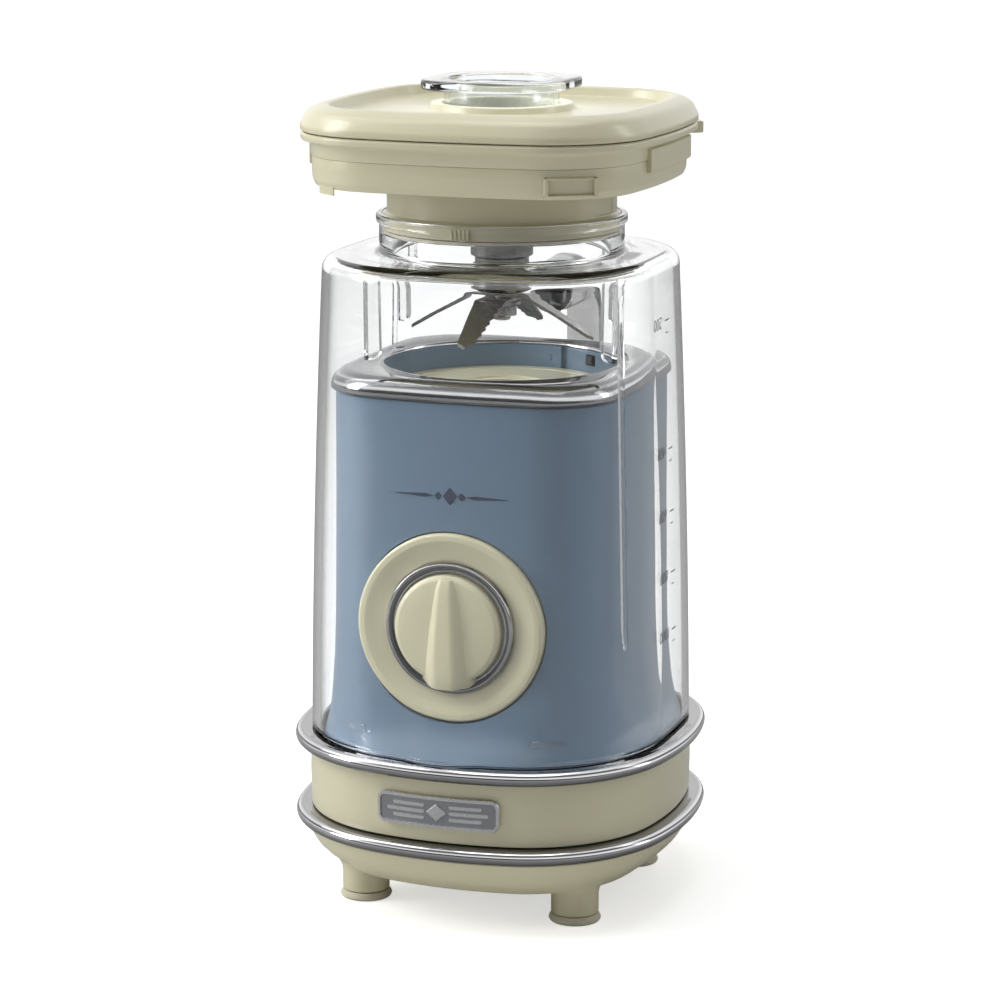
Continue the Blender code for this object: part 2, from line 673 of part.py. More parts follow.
def add_knob_bezel(root):
    """Wide dished surround that closes the round opening in the housing."""
    profile = [(0.0040, 0), (BEZEL_RADIUS, 0), (BEZEL_RADIUS, 0.0034), (0.0307, 0.0043),
               (0.0296, 0.0046), (0.0260, 0.0039), (0.0225, 0.0028), (0.0040, 0.0028)]
    add_part("knob_bezel", turned(profile, 30), "ivory", root, KNOB_PLACE, FACE_FRONT)


def add_knob_ring(root):
    profile = [(0.0190, 0.0031), (KNOB_RING_RADIUS, 0.0031), (KNOB_RING_RADIUS, 0.0048),
               (0.0212, 0.0053), (0.0206, 0.0050), (0.0190, 0.0042)]
    add_part("knob_ring", turned(profile, 28), "chrome", root, KNOB_PLACE, FACE_FRONT)


def add_knob(spin):
    """Round knob with a tapered grip that widens towards its pointer end."""
    profile = [(0, 0.0032), (0.0172, 0.0032), (KNOB_RADIUS, 0.0042), (KNOB_RADIUS, 0.0062),
               (0.0172, 0.0071), (0.0120, 0.0076), (0, 0.0077)]
    knob = add_part("knob", turned(profile, 28), "ivory", spin, KNOB_PLACE, FACE_FRONT)
    grip = add_part("grip_tool", grip_wedge(), "ivory", spin, KNOB_PLACE, FACE_FRONT)
    combine(knob, grip, "UNION")
    bore = rod(SWITCH_SHAFT_RADIUS + GAP, 0.0, 0.0058, 16)
    combine(knob, add_part("knob_bore_tool", bore, "ivory", spin, KNOB_PLACE, FACE_FRONT))


def grip_wedge():
    """Grip in the knob's own frame: narrow and low at +Y, wide and tall at -Y."""
    top_reach, low_reach = 0.0168, KNOB_POINTER_REACH
    stations = [(top_reach, 0.0030, 0.0018, 0.0066), (0.0060, 0.0056, 0.0030, 0.0093),
                (-0.0080, 0.0076, 0.0046, 0.0103), (-0.0165, 0.0086, 0.0052, 0.0099),
                (-low_reach, 0.0066, 0.0040, 0.0094)]
    rows = [[Vector((-base, y, 0.0050)), Vector((base, y, 0.0050)),
             Vector((crest, y, height)), Vector((-crest, y, height))]
            for y, base, crest, height in stations]
    return loft(rows)


def add_knob_shaft(spin):
    profile = [(0, -0.0090), (SWITCH_SHAFT_RADIUS, -0.0090), (SWITCH_SHAFT_RADIUS, 0.0055),
               (0, 0.0055)]
    add_part("knob_shaft", turned(profile, 16), "steel", spin, KNOB_PLACE, FACE_FRONT)


def add_rotary_switch(root):
    body = box((-0.0100, -0.0100, -0.0120), (0.0100, 0.0100, -GAP))
    switch = add_part("rotary_switch", body, "black_plastic", root, KNOB_PLACE, FACE_FRONT)
    bore = rod(SWITCH_SHAFT_RADIUS + GAP, -0.0095, 0.001, 16)
    combine(switch, add_part("switch_bore_tool", bore, "black_plastic", root, KNOB_PLACE,
                             FACE_FRONT))


# ---- jar -----------------------------------------------------------------------------
# (height, outer half width) of the tapered walls and of the shoulder, then the inside of the
# shoulder from the neck outwards
JAR_WALLS = [(JAR_MOUTH_Z, 0.0610), (0.0700, 0.0607), (0.0900, 0.0603), (0.1300, 0.0592),
             (0.2050, 0.0562)]
JAR_SHOULDER = [(0.2086, 0.0555), (SHOULDER_Z, 0.0534), (SHOULDER_Z + 0.0007, 0.0500)]
JAR_ROOF = [(0.2090, 0.0480), (0.2074, 0.0514)]


def spouted(half, z):
    """Jar outline with the pouring spout swelling out at the middle of the front."""
    fade = max(0.0, 1.0 - (z - JAR_MOUTH_Z) / SPOUT_HEIGHT) ** 1.5
    points = []
    for point in jar_outline(half):
        away = abs(point.x) / SPOUT_HALF_WIDTH
        if point.y < 0 and away < 1:
            swell = SPOUT_DEPTH * fade * (1 + math.cos(math.pi * away)) / 2
            point = Vector((point.x, point.y - swell))
        points.append(point)
    return points


def add_jar(lift):
    """Clear jar, mouth down: tapered walls, rounded shoulder and a stepped round neck."""
    throat, seat = THROAT_RADIUS, FLANGE_RADIUS + GAP
    loops = [level(spouted(half, z), z) for z, half in JAR_WALLS + JAR_SHOULDER]
    neck = [(NECK_RADIUS, SHOULDER_Z + 0.0012), (NECK_RADIUS, NECK_TOP_Z), (seat, NECK_TOP_Z),
            (seat, SEAL_SEAT_Z), (throat, SEAL_SEAT_Z), (throat, JAR_ROOF[0][0] + 0.0002)]
    for radius, z in neck:
        loops.append(level(round_outline(radius, FINE), z))
    loops += [level(jar_outline(half), z) for z, half in JAR_ROOF]
    loops += [level(spouted(half - JAR_WALL, z), z) for z, half in reversed(JAR_WALLS)]
    add_part("jar", loft(loops, closed=True), "clear", lift)


def jar_half(z):
    """Outer half width of the jar's straight walls at a height."""
    for (low, first), (high, last) in zip(JAR_WALLS, JAR_WALLS[1:]):
        if z <= high:
            return first + (last - first) * (z - low) / (high - low)
    return JAR_WALLS[-1][1]


def arc(centre_y, centre_z, radius, start, end, steps):
    points = []
    for step in range(steps + 1):
        angle = math.radians(start + (end - start) * step / steps)
        points.append((centre_y + radius * math.cos(angle), centre_z + radius * math.sin(angle)))
    return points


def add_jar_handle(lift):
    """Open loop handle behind the jar: two arms and an upright grip, with soft edges."""
    top = HANDLE_BOSS_Z + 0.0072
    bottom = HANDLE_FOOT_Z - 0.0072
    bar = HANDLE_BAR
    outer_radius, inner_radius = 0.0200, 0.0110
    root_top = jar_half(top - 0.0144) + GAP
    root_bottom = jar_half(bottom) + GAP
    outline = [(root_bottom, bottom)]
    outline += arc(HANDLE_OUTER_Y - outer_radius, bottom + outer_radius, outer_radius, -90, 0, 5)
    outline += arc(HANDLE_OUTER_Y - outer_radius, top - outer_radius, outer_radius, 0, 90, 5)
    outline += [(root_top, top), (root_top, top - 0.0144)]
    inner_y = HANDLE_OUTER_Y - bar
    outline += arc(inner_y - inner_radius, top - 0.0144 - inner_radius, inner_radius, 90, 0, 4)
    outline += arc(inner_y - inner_radius, bottom + 0.0144 + inner_radius, inner_radius, 0, -90, 4)
    outline += [(root_bottom, bottom + 0.0144)]
    sides = [[Vector((x, y, z)) for y, z in outline]
             for x in (-HANDLE_HALF_WIDTH, HANDLE_HALF_WIDTH)]
    handle = add_part("jar_handle", loft(sides), "clear", lift)
    bevel(handle, 0.0022, 2)


# ---- blade unit ----------------------------------------------------------------------
def add_collar_seal(collar):
    bottom, top = SEAL_SEAT_Z + GAP, FLANGE_Z - GAP
    outer = FLANGE_RADIUS - 0.0002
    profile = [(0.0370, bottom), (outer, bottom), (outer, top), (0.0370, top)]
    add_part("collar_seal", turned(profile, 24), "silicone", collar)


def add_blade_collar(collar):
    """Ivory screw-out base of the jar: flange, deep skirt and a floor with a bearing seat."""
    wall = 0.0024
    profile = [(0.0103, FLANGE_Z), (FLANGE_RADIUS, FLANGE_Z), (FLANGE_RADIUS, FLANGE_TOP_Z),
               (0.0383, FLANGE_TOP_Z + 0.0004), (COLLAR_RADIUS, FLANGE_TOP_Z + 0.0010),
               (COLLAR_RADIUS, COLLAR_TOP_Z), (COLLAR_RADIUS - wall, COLLAR_TOP_Z),
               (COLLAR_RADIUS - wall, FLANGE_Z + 0.0028), (0.0103, FLANGE_Z + 0.0028)]
    add_part("blade_collar", turned(profile, 30), "ivory", collar)


def add_bearing_hub(collar):
    """Housing of the blade spindle: a flanged sleeve that hangs through the collar's floor."""
    bore = 0.0066
    under = FLANGE_Z - GAP
    profile = [(bore, HUB_BOTTOM_Z), (0.0080, HUB_BOTTOM_Z), (HUB_RADIUS, HUB_BOTTOM_Z + 0.0030),
               (HUB_RADIUS, under - 0.0048), (0.0150, under - 0.0020), (0.0150, under),
               (0.0100, under), (0.0100, 0.2285), (bore, 0.2285)]
    add_part("bearing_hub", turned(profile, 20), "steel", collar)


def add_spindle_bushes(collar):
    for name, bottom in (("spindle_bush_lower", HUB_BOTTOM_Z + 0.0010),
                         ("spindle_bush_upper", 0.2205)):
        profile = [(SPINDLE_RADIUS + 0.0001, bottom), (0.0063, bottom),
                   (0.0063, bottom + 0.0060), (SPINDLE_RADIUS + 0.0001, bottom + 0.0060)]
        add_part(name, turned(profile, 14), "bronze", collar)


def add_blade_spindle(spin):
    profile = [(0, 0.1885), (0.0026, 0.1885), (0.0029, 0.1889), (0.0029, HUB_BOTTOM_Z - 0.0009),
               (SPINDLE_RADIUS, HUB_BOTTOM_Z - 0.0005), (SPINDLE_RADIUS, 0.2290),
               (0.0030, 0.2296), (0.0030, 0.2360), (0, 0.2360)]
    add_part("blade_spindle", turned(profile, 14), "steel", spin)


def add_blade(name, top, yaw, reach, drop, width, spin):
    """Two bent arms from one strip: flat at the hub, then down and out to pointed ends."""
    thickness = 0.0011
    half = [(0.0, width * 0.62, 0.0), (0.0075, width * 0.62, 0.0), (0.0105, width * 0.5, 0.0012),
            (reach * 0.78, width * 0.42, drop * 0.80), (reach, width * 0.06, drop)]
    stations = [(-x, w, d) for x, w, d in reversed(half[1:])] + half
    rows = [[Vector((x, -w, top - d - thickness)), Vector((x, w, top - d - thickness)),
             Vector((x, w, top - d)), Vector((x, -w, top - d))] for x, w, d in stations]
    blade = add_part(name, loft(rows), "steel", spin, turn=(0, 0, yaw))
    hole = rod(0.0029 + GAP, top - 0.005, top + 0.003, 16)
    combine(blade, add_part(name + "_hole_tool", hole, "steel", spin))


def add_blades(spin):
    first = HUB_BOTTOM_Z - 0.0008
    add_blade("blade_long", first, BLADE_YAW, BLADE_REACH, BLADE_DROP, 0.0066, spin)
    add_blade("blade_wide", first - 0.0011 - GAP, BLADE_YAW + math.pi / 2, BLADE_REACH - 0.001,
              BLADE_DROP - 0.001, 0.0092, spin)


def add_blade_fasteners(spin):
    top = HUB_BOTTOM_Z - 0.0008 - 2 * (0.0011 + GAP)
    inner = 0.0029 + GAP
    washer = [(inner, top - 0.0010), (0.0064, top - 0.0010), (0.0064, top), (inner, top)]
    add_part("blade_washer", turned(washer, 16), "steel", spin)
    nut_top = top - 0.0010 - GAP
    outline = [Vector((0.0052 * math.cos(math.radians(60 * k)), 0.0052 * math.sin(math.radians(60 * k))))
               for k in range(6)]
    nut = loft([level(outline, nut_top - 0.0038), level(outline, nut_top)])
    part = add_part("blade_nut", nut, "steel", spin)
    bore = rod(inner, nut_top - 0.010, nut_top + 0.002, 16)
    combine(part, add_part("nut_bore_tool", bore, "steel", spin))


def add_driven_coupling(spin):
    coupling = add_part("driven_coupling", toothed_ring(0.0104, 0.0024, 8, 0.2298, DRIVEN_TOP_Z),
                        "black_plastic", spin)
    bore = rod(0.0030 + GAP, 0.2280, 0.2363, 16)
    combine(coupling, add_part("driven_bore_tool", bore, "black_plastic", spin))


# ---- lid and cap ---------------------------------------------------------------------
def add_lid_seal(lid):
    """Lower band of the skirt, which carries the seal for the jar's mouth."""
    bottom = LID_SEAM_Z - SKIRT_DEPTH
    top = LID_SEAM_Z - 0.0079
    section = [(0.0552, bottom), (0.0557, bottom + 0.0010), (0.0557, top), (0.0528, top),
               (0.0528, bottom)]
    loops = [level(lid_outline(half), z) for half, z in section]
    add_part("lid_seal", loft(loops, closed=True), "ivory", lid)


def add_lid_body(lid):
    """Lower half of the lid: rim flange, skirt, plate, a rib that stands on the collar and
    the sleeve that holds the measuring cap. Depths are taken from the parting line."""
    square = lid_outline
    rib = LID_SEAM_Z - COLLAR_TOP_Z - GAP
    section = [(square, LID_HALF - 0.0002, 0.0002), (square, LID_HALF - 0.0002, 0.0018),
               (square, 0.0566, 0.0022), (square, 0.0560, 0.0076), (square, 0.0534, 0.0076),
               (square, 0.0530, 0.0056), (round_outline, 0.0378, 0.0056),
               (round_outline, 0.0374, rib), (round_outline, 0.0348, rib),
               (round_outline, 0.0344, 0.0056), (round_outline, 0.0222, 0.0056),
               (round_outline, 0.0218, 0.0096), (round_outline, CAP_HOLE_RADIUS, 0.0096),
               (round_outline, CAP_HOLE_RADIUS, 0.0034), (square, 0.0545, 0.0034),
               (square, 0.0560, 0.0002)]
    loops = [level(plan(half), LID_SEAM_Z - depth) for plan, half, depth in section]
    add_part("lid_body", loft(loops, closed=True), "ivory", lid)


def add_lid_cover(lid):
    """Upper half of the lid: soft outer edge, raised ridge, sunk top and a low cap ring.
    Heights are taken from the parting line."""
    square = lid_outline
    top = COVER_HEIGHT
    section = [(square, LID_HALF - 0.0004, 0.0001), (square, LID_HALF, 0.0020),
               (square, 0.0593, top - 0.0035), (square, 0.0574, top - 0.0014),
               (square, 0.0546, top - 0.0002), (square, 0.0530, top), (square, 0.0514, top - 0.0006),
               (square, 0.0502, top - 0.0030), (round_outline, 0.0236, top - 0.0034),
               (round_outline, 0.0230, top - 0.0014), (round_outline, CAP_HOLE_RADIUS, top - 0.0014),
               (round_outline, CAP_HOLE_RADIUS, 0.0001), (round_outline, 0.0225, 0.0001),
               (round_outline, 0.0240, 0.0026), (square, 0.0500, 0.0028),
               (square, 0.0548, 0.0044), (square, 0.0575, 0.0018), (square, 0.0580, 0.0001)]
    loops = [level(plan(half), LID_SEAM_Z + height) for plan, half, height in section]
    add_part("lid_cover", loft(loops, closed=True), "ivory", lid)


def add_measuring_cap(cap):
    """Clear cup with a wide rounded-square rim: it hangs in the lid's sleeve, open upwards."""
    square = rounded_square(CAP_FLANGE_HALF, 0.15, 0.0140, COARSE)
    small = rounded_square(CAP_FLANGE_HALF - 0.0008, 0.15, 0.0132, COARSE)
    inner = CAP_STEM_RADIUS - CAP_WALL
    loops = [level(round_outline(CAP_STEM_RADIUS - 0.0008), CAP_BOTTOM_Z),
             level(round_outline(CAP_STEM_RADIUS), CAP_BOTTOM_Z + 0.0010),
             level(round_outline(CAP_STEM_RADIUS), CAP_FLANGE_Z), level(square, CAP_FLANGE_Z),
             level(square, CAP_TOP_Z - 0.0008), level(small, CAP_TOP_Z),
             level(round_outline(inner), CAP_TOP_Z), level(round_outline(inner), CAP_BOTTOM_Z + 0.0018)]
    add_part("measuring_cap", loft(loops), "clear", cap)


# ---- assembly ------------------------------------------------------------------------
def main():
    clear_scene()
    root = add_empty("blender_axis", None, (0, DEPTH_OFFSET, LEG_DROP))
    for build in (add_bottom_pan, add_feet, add_base_band, add_cord_gland, add_name_plate,
                  add_motor_housing, add_top_trim, add_well_wall, add_well_deck, add_interlock,
                  add_base_frame, add_base_screws, add_stator, add_field_windings,
                  add_upper_bracket, add_through_bolts, add_bearings, add_brushes,
                  add_knob_bezel, add_knob_ring, add_rotary_switch):
        build(root)
    add_chrome_ring("lower_ring", LOWER_RING_Z, root)
    add_chrome_ring("upper_ring", UPPER_RING_Z, root)
    motor = add_empty("motor_axis", root)
    for build in (add_motor_shaft, add_armature, add_commutator, add_cooling_fan,
                  add_drive_coupling):
        build(motor)
    for build in (add_knob, add_knob_shaft):
        build(root)
    jar = add_empty("jar_axis", root)
    for build in (add_jar, add_jar_handle):
        build(jar)
    collar = add_empty("collar_axis", jar)
    for build in (add_collar_seal, add_blade_collar, add_bearing_hub, add_spindle_bushes):
        build(collar)
    blades = add_empty("blade_axis", collar)
    for build in (add_blade_spindle, add_blades, add_blade_fasteners, add_driven_coupling):
        build(blades)
    lid = add_empty("lid_axis", jar)
    for build in (add_lid_seal, add_lid_body, add_lid_cover):
        build(lid)
    add_measuring_cap(add_empty("cap_axis", lid))


main()
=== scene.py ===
import math

import bmesh
import bpy
from mathutils import Matrix, Vector


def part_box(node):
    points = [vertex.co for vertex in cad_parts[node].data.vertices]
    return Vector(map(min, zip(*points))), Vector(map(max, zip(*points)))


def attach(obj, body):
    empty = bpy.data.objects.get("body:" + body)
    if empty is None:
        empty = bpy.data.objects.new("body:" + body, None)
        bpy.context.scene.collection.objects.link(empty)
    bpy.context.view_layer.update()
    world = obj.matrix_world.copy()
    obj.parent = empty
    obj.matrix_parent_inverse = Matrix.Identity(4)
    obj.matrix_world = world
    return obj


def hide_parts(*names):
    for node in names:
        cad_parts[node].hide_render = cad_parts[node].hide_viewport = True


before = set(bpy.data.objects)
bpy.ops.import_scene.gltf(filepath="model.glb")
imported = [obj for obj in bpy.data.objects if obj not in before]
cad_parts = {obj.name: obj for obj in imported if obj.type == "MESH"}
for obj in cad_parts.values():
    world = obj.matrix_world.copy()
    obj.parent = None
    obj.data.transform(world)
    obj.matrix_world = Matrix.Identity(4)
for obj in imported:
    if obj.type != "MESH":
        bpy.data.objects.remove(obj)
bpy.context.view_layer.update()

# Everything is modelled in metres about the blender's upright axis, with heights from the
# datum plane just under the tray, and then moved to AXIS in the frame. The knob side faces -Y.


# ---- dimensions read from the frame ---------------------------------------------------
SHAFT_LOW, SHAFT_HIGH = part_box("motor_shaft")
DATUM_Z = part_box("lower_ring")[0].z - 0.0207
AXIS = Vector(((SHAFT_LOW.x + SHAFT_HIGH.x) / 2, (SHAFT_LOW.y + SHAFT_HIGH.y) / 2, DATUM_Z))


def bottom(node):
    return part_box(node)[0].z - AXIS.z


def top(node):
    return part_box(node)[1].z - AXIS.z


def half_width(node):
    low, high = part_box(node)
    return (high.x - low.x) / 2


def extent(node):
    return bottom(node), top(node), half_width(node)


def middle(node):
    low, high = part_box(node)
    return (low + high) / 2 - AXIS


ring_low, ring_high, RING_HALF = extent("upper_ring")
RING_BEAD = (ring_high - ring_low) / 2
HOUSING_BOTTOM, HOUSING_TOP = bottom("motor_housing"), top("motor_housing")
DECK_BOTTOM, DECK_BEAD, DECK_HALF = extent("well_deck")
DECK_TOP = DECK_BEAD - 0.0008           # the flat of the deck, under its raised bead
WELL_RADIUS = DECK_HALF + 0.0003
JAR_MOUTH, NECK_TOP = bottom("jar"), top("jar")
JAR_WALL = 0.0028
HANDLE_BOTTOM, HANDLE_TOP, HANDLE_HALF = extent("jar_handle")
HANDLE_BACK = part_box("jar_handle")[1].y - AXIS.y
FLANGE_BOTTOM, COLLAR_TOP, FLANGE_RADIUS = extent("blade_collar")
HUB_BOTTOM = bottom("bearing_hub")
LID_SEAM, LID_TOP, LID_HALF = extent("lid_cover")
SKIRT_BOTTOM = bottom("lid_seal")
CAP_BOTTOM, CAP_TOP, CAP_HALF = extent("measuring_cap")
KNOB_Z = middle("knob_bezel").z
BEZEL_RADIUS = half_width("knob_bezel")
BEZEL_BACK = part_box("knob_bezel")[1].y - AXIS.y
FOOT_BOTTOM, FOOT_TOP, FOOT_RADIUS = extent("foot_front_right")
FOOT_PLACE = middle("foot_front_right")

SIDE_STEPS = 12        # facets along each bowed side of a rounded-square plan
CORNER_STEPS = 14      # facets round each of its corners


# ---- materials ------------------------------------------------------------------------
def new_material(name, colour, roughness, metallic=0.0, **sockets):
    """Material with uniform values. A socket's name is given with _ for its spaces."""
    made = bpy.data.materials.new(name)
    made.use_nodes = True
    shader = made.node_tree.nodes["Principled BSDF"]
    values = dict(Base_Color=(*colour, 1.0), Roughness=roughness, Metallic=metallic, **sockets)
    for socket, value in values.items():
        shader.inputs[socket.replace("_", " ")].default_value = value
    return made


def node(tree, kind, inputs=(), **settings):
    """New shader node. An input given as another node's output is linked, others are set."""
    made = tree.nodes.new("ShaderNode" + kind)
    for key, value in settings.items():
        setattr(made, key, value)
    for key, value in dict(inputs).items():
        if isinstance(value, bpy.types.NodeSocket):
            tree.links.new(value, made.inputs[key])
        else:
            made.inputs[key].default_value = value
    return made


def arithmetic(tree, operation, first, second, clamp=False):
    return node(tree, "Math", {0: first, 1: second}, operation=operation,
                use_clamp=clamp).outputs["Value"]


def mix_colours(tree, factor, first, second, blend="MIX"):
    return node(tree, "Mix", {"Factor": factor, "A": first, "B": second}, data_type="RGBA",
                blend_type=blend).outputs["Result"]


def mix_shaders(tree, factor, first, second):
    return node(tree, "MixShader", {"Fac": factor, 1: first, 2: second}).outputs["Shader"]


def ray(tree, name):
    return node(tree, "LightPath").outputs[name]


def map_range(tree, source, **limits):
    sockets = {key.replace("_", " "): value for key, value in limits.items()}
    return node(tree, "MapRange", {"Value": source, **sockets}).outputs["Result"]


def feed(made, socket, source):
    """Drives one socket of a material's main shader."""
    made.node_tree.links.new(source, made.node_tree.nodes["Principled BSDF"].inputs[socket])


def grey_ramp(tree, source, stops, blue=1.0):
    """Greys at rising (position, value) stops along the source."""
    made = node(tree, "ValToRGB", {"Fac": source})
    elements = made.color_ramp.elements
    while len(elements) < len(stops):
        elements.new(0.5)
    for element, (position, value) in zip(elements, stops):
        element.position = position
        element.color = (value, value, value * blue, 1.0)
    return made.outputs["Color"]


def noise(tree, size, detail=3.0, stretch=(1, 1, 1)):
    """Noise in the object's own space whose features are about the given size in metres."""
    place = node(tree, "TexCoord").outputs["Object"]
    scaled = node(tree, "Mapping", {"Vector": place, "Scale": stretch}).outputs["Vector"]
    return node(tree, "TexNoise",
                {"Vector": scaled, "Scale": 1.0 / size, "Detail": detail}).outputs["Fac"]


def ramp(tree, source, low, high):
    return map_range(tree, source, From_Min=0.3, From_Max=0.7, To_Min=low, To_Max=high)


def vary_colour(made, size, first, second):
    tree = made.node_tree
    factor = ramp(tree, noise(tree, size), 0.0, 1.0)
    feed(made, "Base Color", mix_colours(tree, factor, (*first, 1.0), (*second, 1.0)))


def vary_roughness(made, size, low, high, stretch=(1, 1, 1)):
    tree = made.node_tree
    feed(made, "Roughness", ramp(tree, noise(tree, size, 5.0, stretch), low, high))


def add_bump(made, size, height, stretch=(1, 1, 1)):
    tree = made.node_tree
    bump = node(tree, "Bump", {"Strength": 1.0, "Distance": height,
                               "Height": noise(tree, size, 2.0, stretch)})
    feed(made, "Normal", bump.outputs["Normal"])


def moulded(name, colour, roughness, tint=0.012, grain=0.0011, depth=0.00001, **sockets):
    """Injection-moulded plastic: faint clouding, slightly uneven gloss and a very fine ripple."""
    made = new_material(name, colour, roughness, **sockets)
    darker = tuple(c * (1 - tint) for c in colour)
    lighter = tuple(min(1.0, c * (1 + tint * 0.5)) for c in colour)
    vary_colour(made, 0.030, darker, lighter)
    vary_roughness(made, 0.012, roughness * 0.98, roughness * 1.02)
    add_bump(made, grain, depth)
    return made


def metal(name, colour, roughness, grain=(1, 1, 1), size=0.004, depth=0.000004, spread=0.4):
    """Plated, turned or brushed metal. The grain stretches the marks along an axis."""
    made = new_material(name, colour, roughness, 1.0)
    vary_colour(made, 0.010, tuple(c * 0.94 for c in colour), colour)
    vary_roughness(made, size, roughness * (1 - spread), roughness * (1 + spread), grain)
    add_bump(made, size * 0.5, depth, grain)
    return made


def chrome_with_painted_reflections(name, stops):
    """Bright plating with painted reflections: pale and dark bands of a studio painted into its colour.
    Each stop pairs how far the surface faces up, from -1 to 1, with the painted grey there."""
    made = metal(name, (0.7, 0.7, 0.71), 0.05, size=0.008, depth=0.000002)
    tree = made.node_tree
    normal = node(tree, "NewGeometry").outputs["Normal"]
    up = node(tree, "SeparateXYZ", {"Vector": normal}).outputs["Z"]
    # painted reflection: a grey for each way the surface faces, multiplied into the plating's colour
    painted_reflection = grey_ramp(tree, map_range(tree, up, From_Min=-1.0, From_Max=1.0),
                       [((facing + 1) / 2, grey) for facing, grey in stops], blue=1.01)
    worn = tree.nodes["Principled BSDF"].inputs["Base Color"].links[0].from_socket
    feed(made, "Base Color", mix_colours(tree, 1.0, painted_reflection, worn, "MULTIPLY"))
    return made


EDGE_SHADE = 0.34      # share of a clear plastic's tint that is left where it is seen edge-on, as painted shade


def clear_plastic(name, tint, roughness):
    """Clear moulding: refracts what is seen through it, has painted shade where it is seen edge-on and
    lets the lamps' light through."""
    made = new_material(name, tint, roughness, Transmission_Weight=1.0, IOR=1.49)
    add_bump(made, 0.022, 0.000015)
    if roughness:
        vary_roughness(made, 0.020, roughness * 0.9, roughness * 1.1)
    tree = made.node_tree
    facing = node(tree, "LayerWeight", {"Blend": 0.5}).outputs["Facing"]
    # painted shade: the tint darkens towards the edges as the eye sees them
    edge = map_range(tree, facing, From_Min=0.74, From_Max=0.97)
    feed(made, "Base Color",
         mix_colours(tree, edge, (*tint, 1.0), (*[EDGE_SHADE * c for c in tint], 1.0)))
    passing = node(tree, "BsdfTransparent", {"Color": (*[0.5 + 0.5 * c for c in tint], 1)})
    surface = mix_shaders(tree, ray(tree, "Is Shadow Ray"),
                          tree.nodes["Principled BSDF"].outputs["BSDF"], passing.outputs["BSDF"])
    tree.links.new(surface, tree.nodes["Material Output"].inputs["Surface"])
    return made


IVORY = moulded("ivory", (0.66, 0.625, 0.44), 0.30, Coat_Weight=0.25, Coat_Roughness=0.08)
BLUE = moulded("blue", (0.142, 0.214, 0.300), 0.28, tint=0.004, depth=0.000005,
               Coat_Weight=0.3, Coat_Roughness=0.06)
# The light and dark bands on these chrome pieces are painted reflections, not the metal's own colour.
RING_CHROME = chrome_with_painted_reflections("ring_chrome", (
    (-0.6, 0.30), (-0.1, 0.55), (0.15, 0.75), (0.40, 1.0), (0.52, 0.12), (0.64, 0.16), (0.74, 1.0),
    (0.90, 0.70), (0.97, 0.45)))
TRIM_CHROME = chrome_with_painted_reflections("trim_chrome", (
    (-0.2, 0.30), (0.05, 0.85), (0.35, 1.0), (0.50, 0.25), (0.70, 0.30), (0.80, 0.85), (0.90, 0.34),
    (0.99, 0.22)))
# painted shade and dark reflection: chrome coloured near black for the cone in the gap round the knob
CHROME_PAINTED_DARK = metal("chrome_painted_dark", (0.16, 0.165, 0.17), 0.10, size=0.004)
BADGE = metal("badge", (0.66, 0.66, 0.67), 0.30, size=0.002)
BADGE_FIELD = metal("badge_field", (0.33, 0.34, 0.36), 0.42, size=0.0012, depth=0.000012)
CLEAR = clear_plastic("clear", (0.975, 0.980, 0.982), 0.0)
CLEAR_CAP = clear_plastic("clear_cap", (0.90, 0.93, 0.965), 0.02)
SMOKE = clear_plastic("smoke", (0.42, 0.42, 0.42), 0.04)
PRINT = moulded("print", (0.19, 0.20, 0.21), 0.55)
ORNAMENT = moulded("ornament", (0.035, 0.045, 0.085), 0.35)
RUBBER = moulded("rubber", (0.60, 0.57, 0.45), 0.62, grain=0.0006, depth=0.00003)
SILICONE = moulded("silicone", (0.66, 0.63, 0.50), 0.42, grain=0.0008, depth=0.00002)
STEEL = metal("steel", (0.50, 0.49, 0.48), 0.24, (1, 1, 12), 0.0015, 0.000006)
HUB_STEEL = metal("hub_steel", (0.27, 0.265, 0.255), 0.20, (1, 1, 12), 0.0012, 0.000006)
BLADE = metal("blade", (0.33, 0.32, 0.30), 0.22, (14, 1, 1), 0.0010, 0.000008)
COPPER = metal("copper", (0.72, 0.33, 0.16), 0.35, (1, 1, 20), 0.0012, 0.00005)
LAMINATION = metal("lamination", (0.30, 0.31, 0.33), 0.45, (1, 1, 30), 0.0010, 0.00003)
BRONZE = metal("bronze", (0.60, 0.43, 0.22), 0.40, size=0.0012, depth=0.00002)
CARBON = moulded("carbon", (0.03, 0.03, 0.03), 0.60, tint=0.4, grain=0.0004, depth=0.00003)
BLACK = moulded("black_plastic", (0.025, 0.026, 0.028), 0.42, tint=0.3)

CAD_FINISHES = {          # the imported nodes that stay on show, most of them inside the body
    STEEL: ("motor_shaft", "knob_shaft", "upper_bracket", "through_bolt_left",
            "through_bolt_right", *[f"base_screw_{k}" for k in (1, 2, 3, 4)], "blade_washer"),
    COPPER: ("armature", "commutator", "field_winding_upper", "field_winding_lower"),
    LAMINATION: ("stator",),
    BRONZE: ("upper_bearing", "lower_bearing", "brush_holder_left", "brush_holder_right",
             "spindle_bush_lower", "spindle_bush_upper"),
    CARBON: ("brush_left", "brush_right"),
    SILICONE: ("collar_seal",),
    BLACK: ("base_frame", "cooling_fan", "rotary_switch", "interlock_switch",
            "interlock_slider", "drive_coupling", "driven_coupling", "cord_gland"),
}


def finish_cad_nodes():
    for finish, names in CAD_FINISHES.items():
        for name in names:
            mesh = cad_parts[name].data
            mesh.materials.clear()
            mesh.materials.append(finish)


# ---- outlines and profiles ------------------------------------------------------------
def polar(radius, angle, x=0.0, y=0.0):
    """Point at an angle in radians round a centre."""
    return Vector((x + radius * math.cos(angle), y + radius * math.sin(angle)))


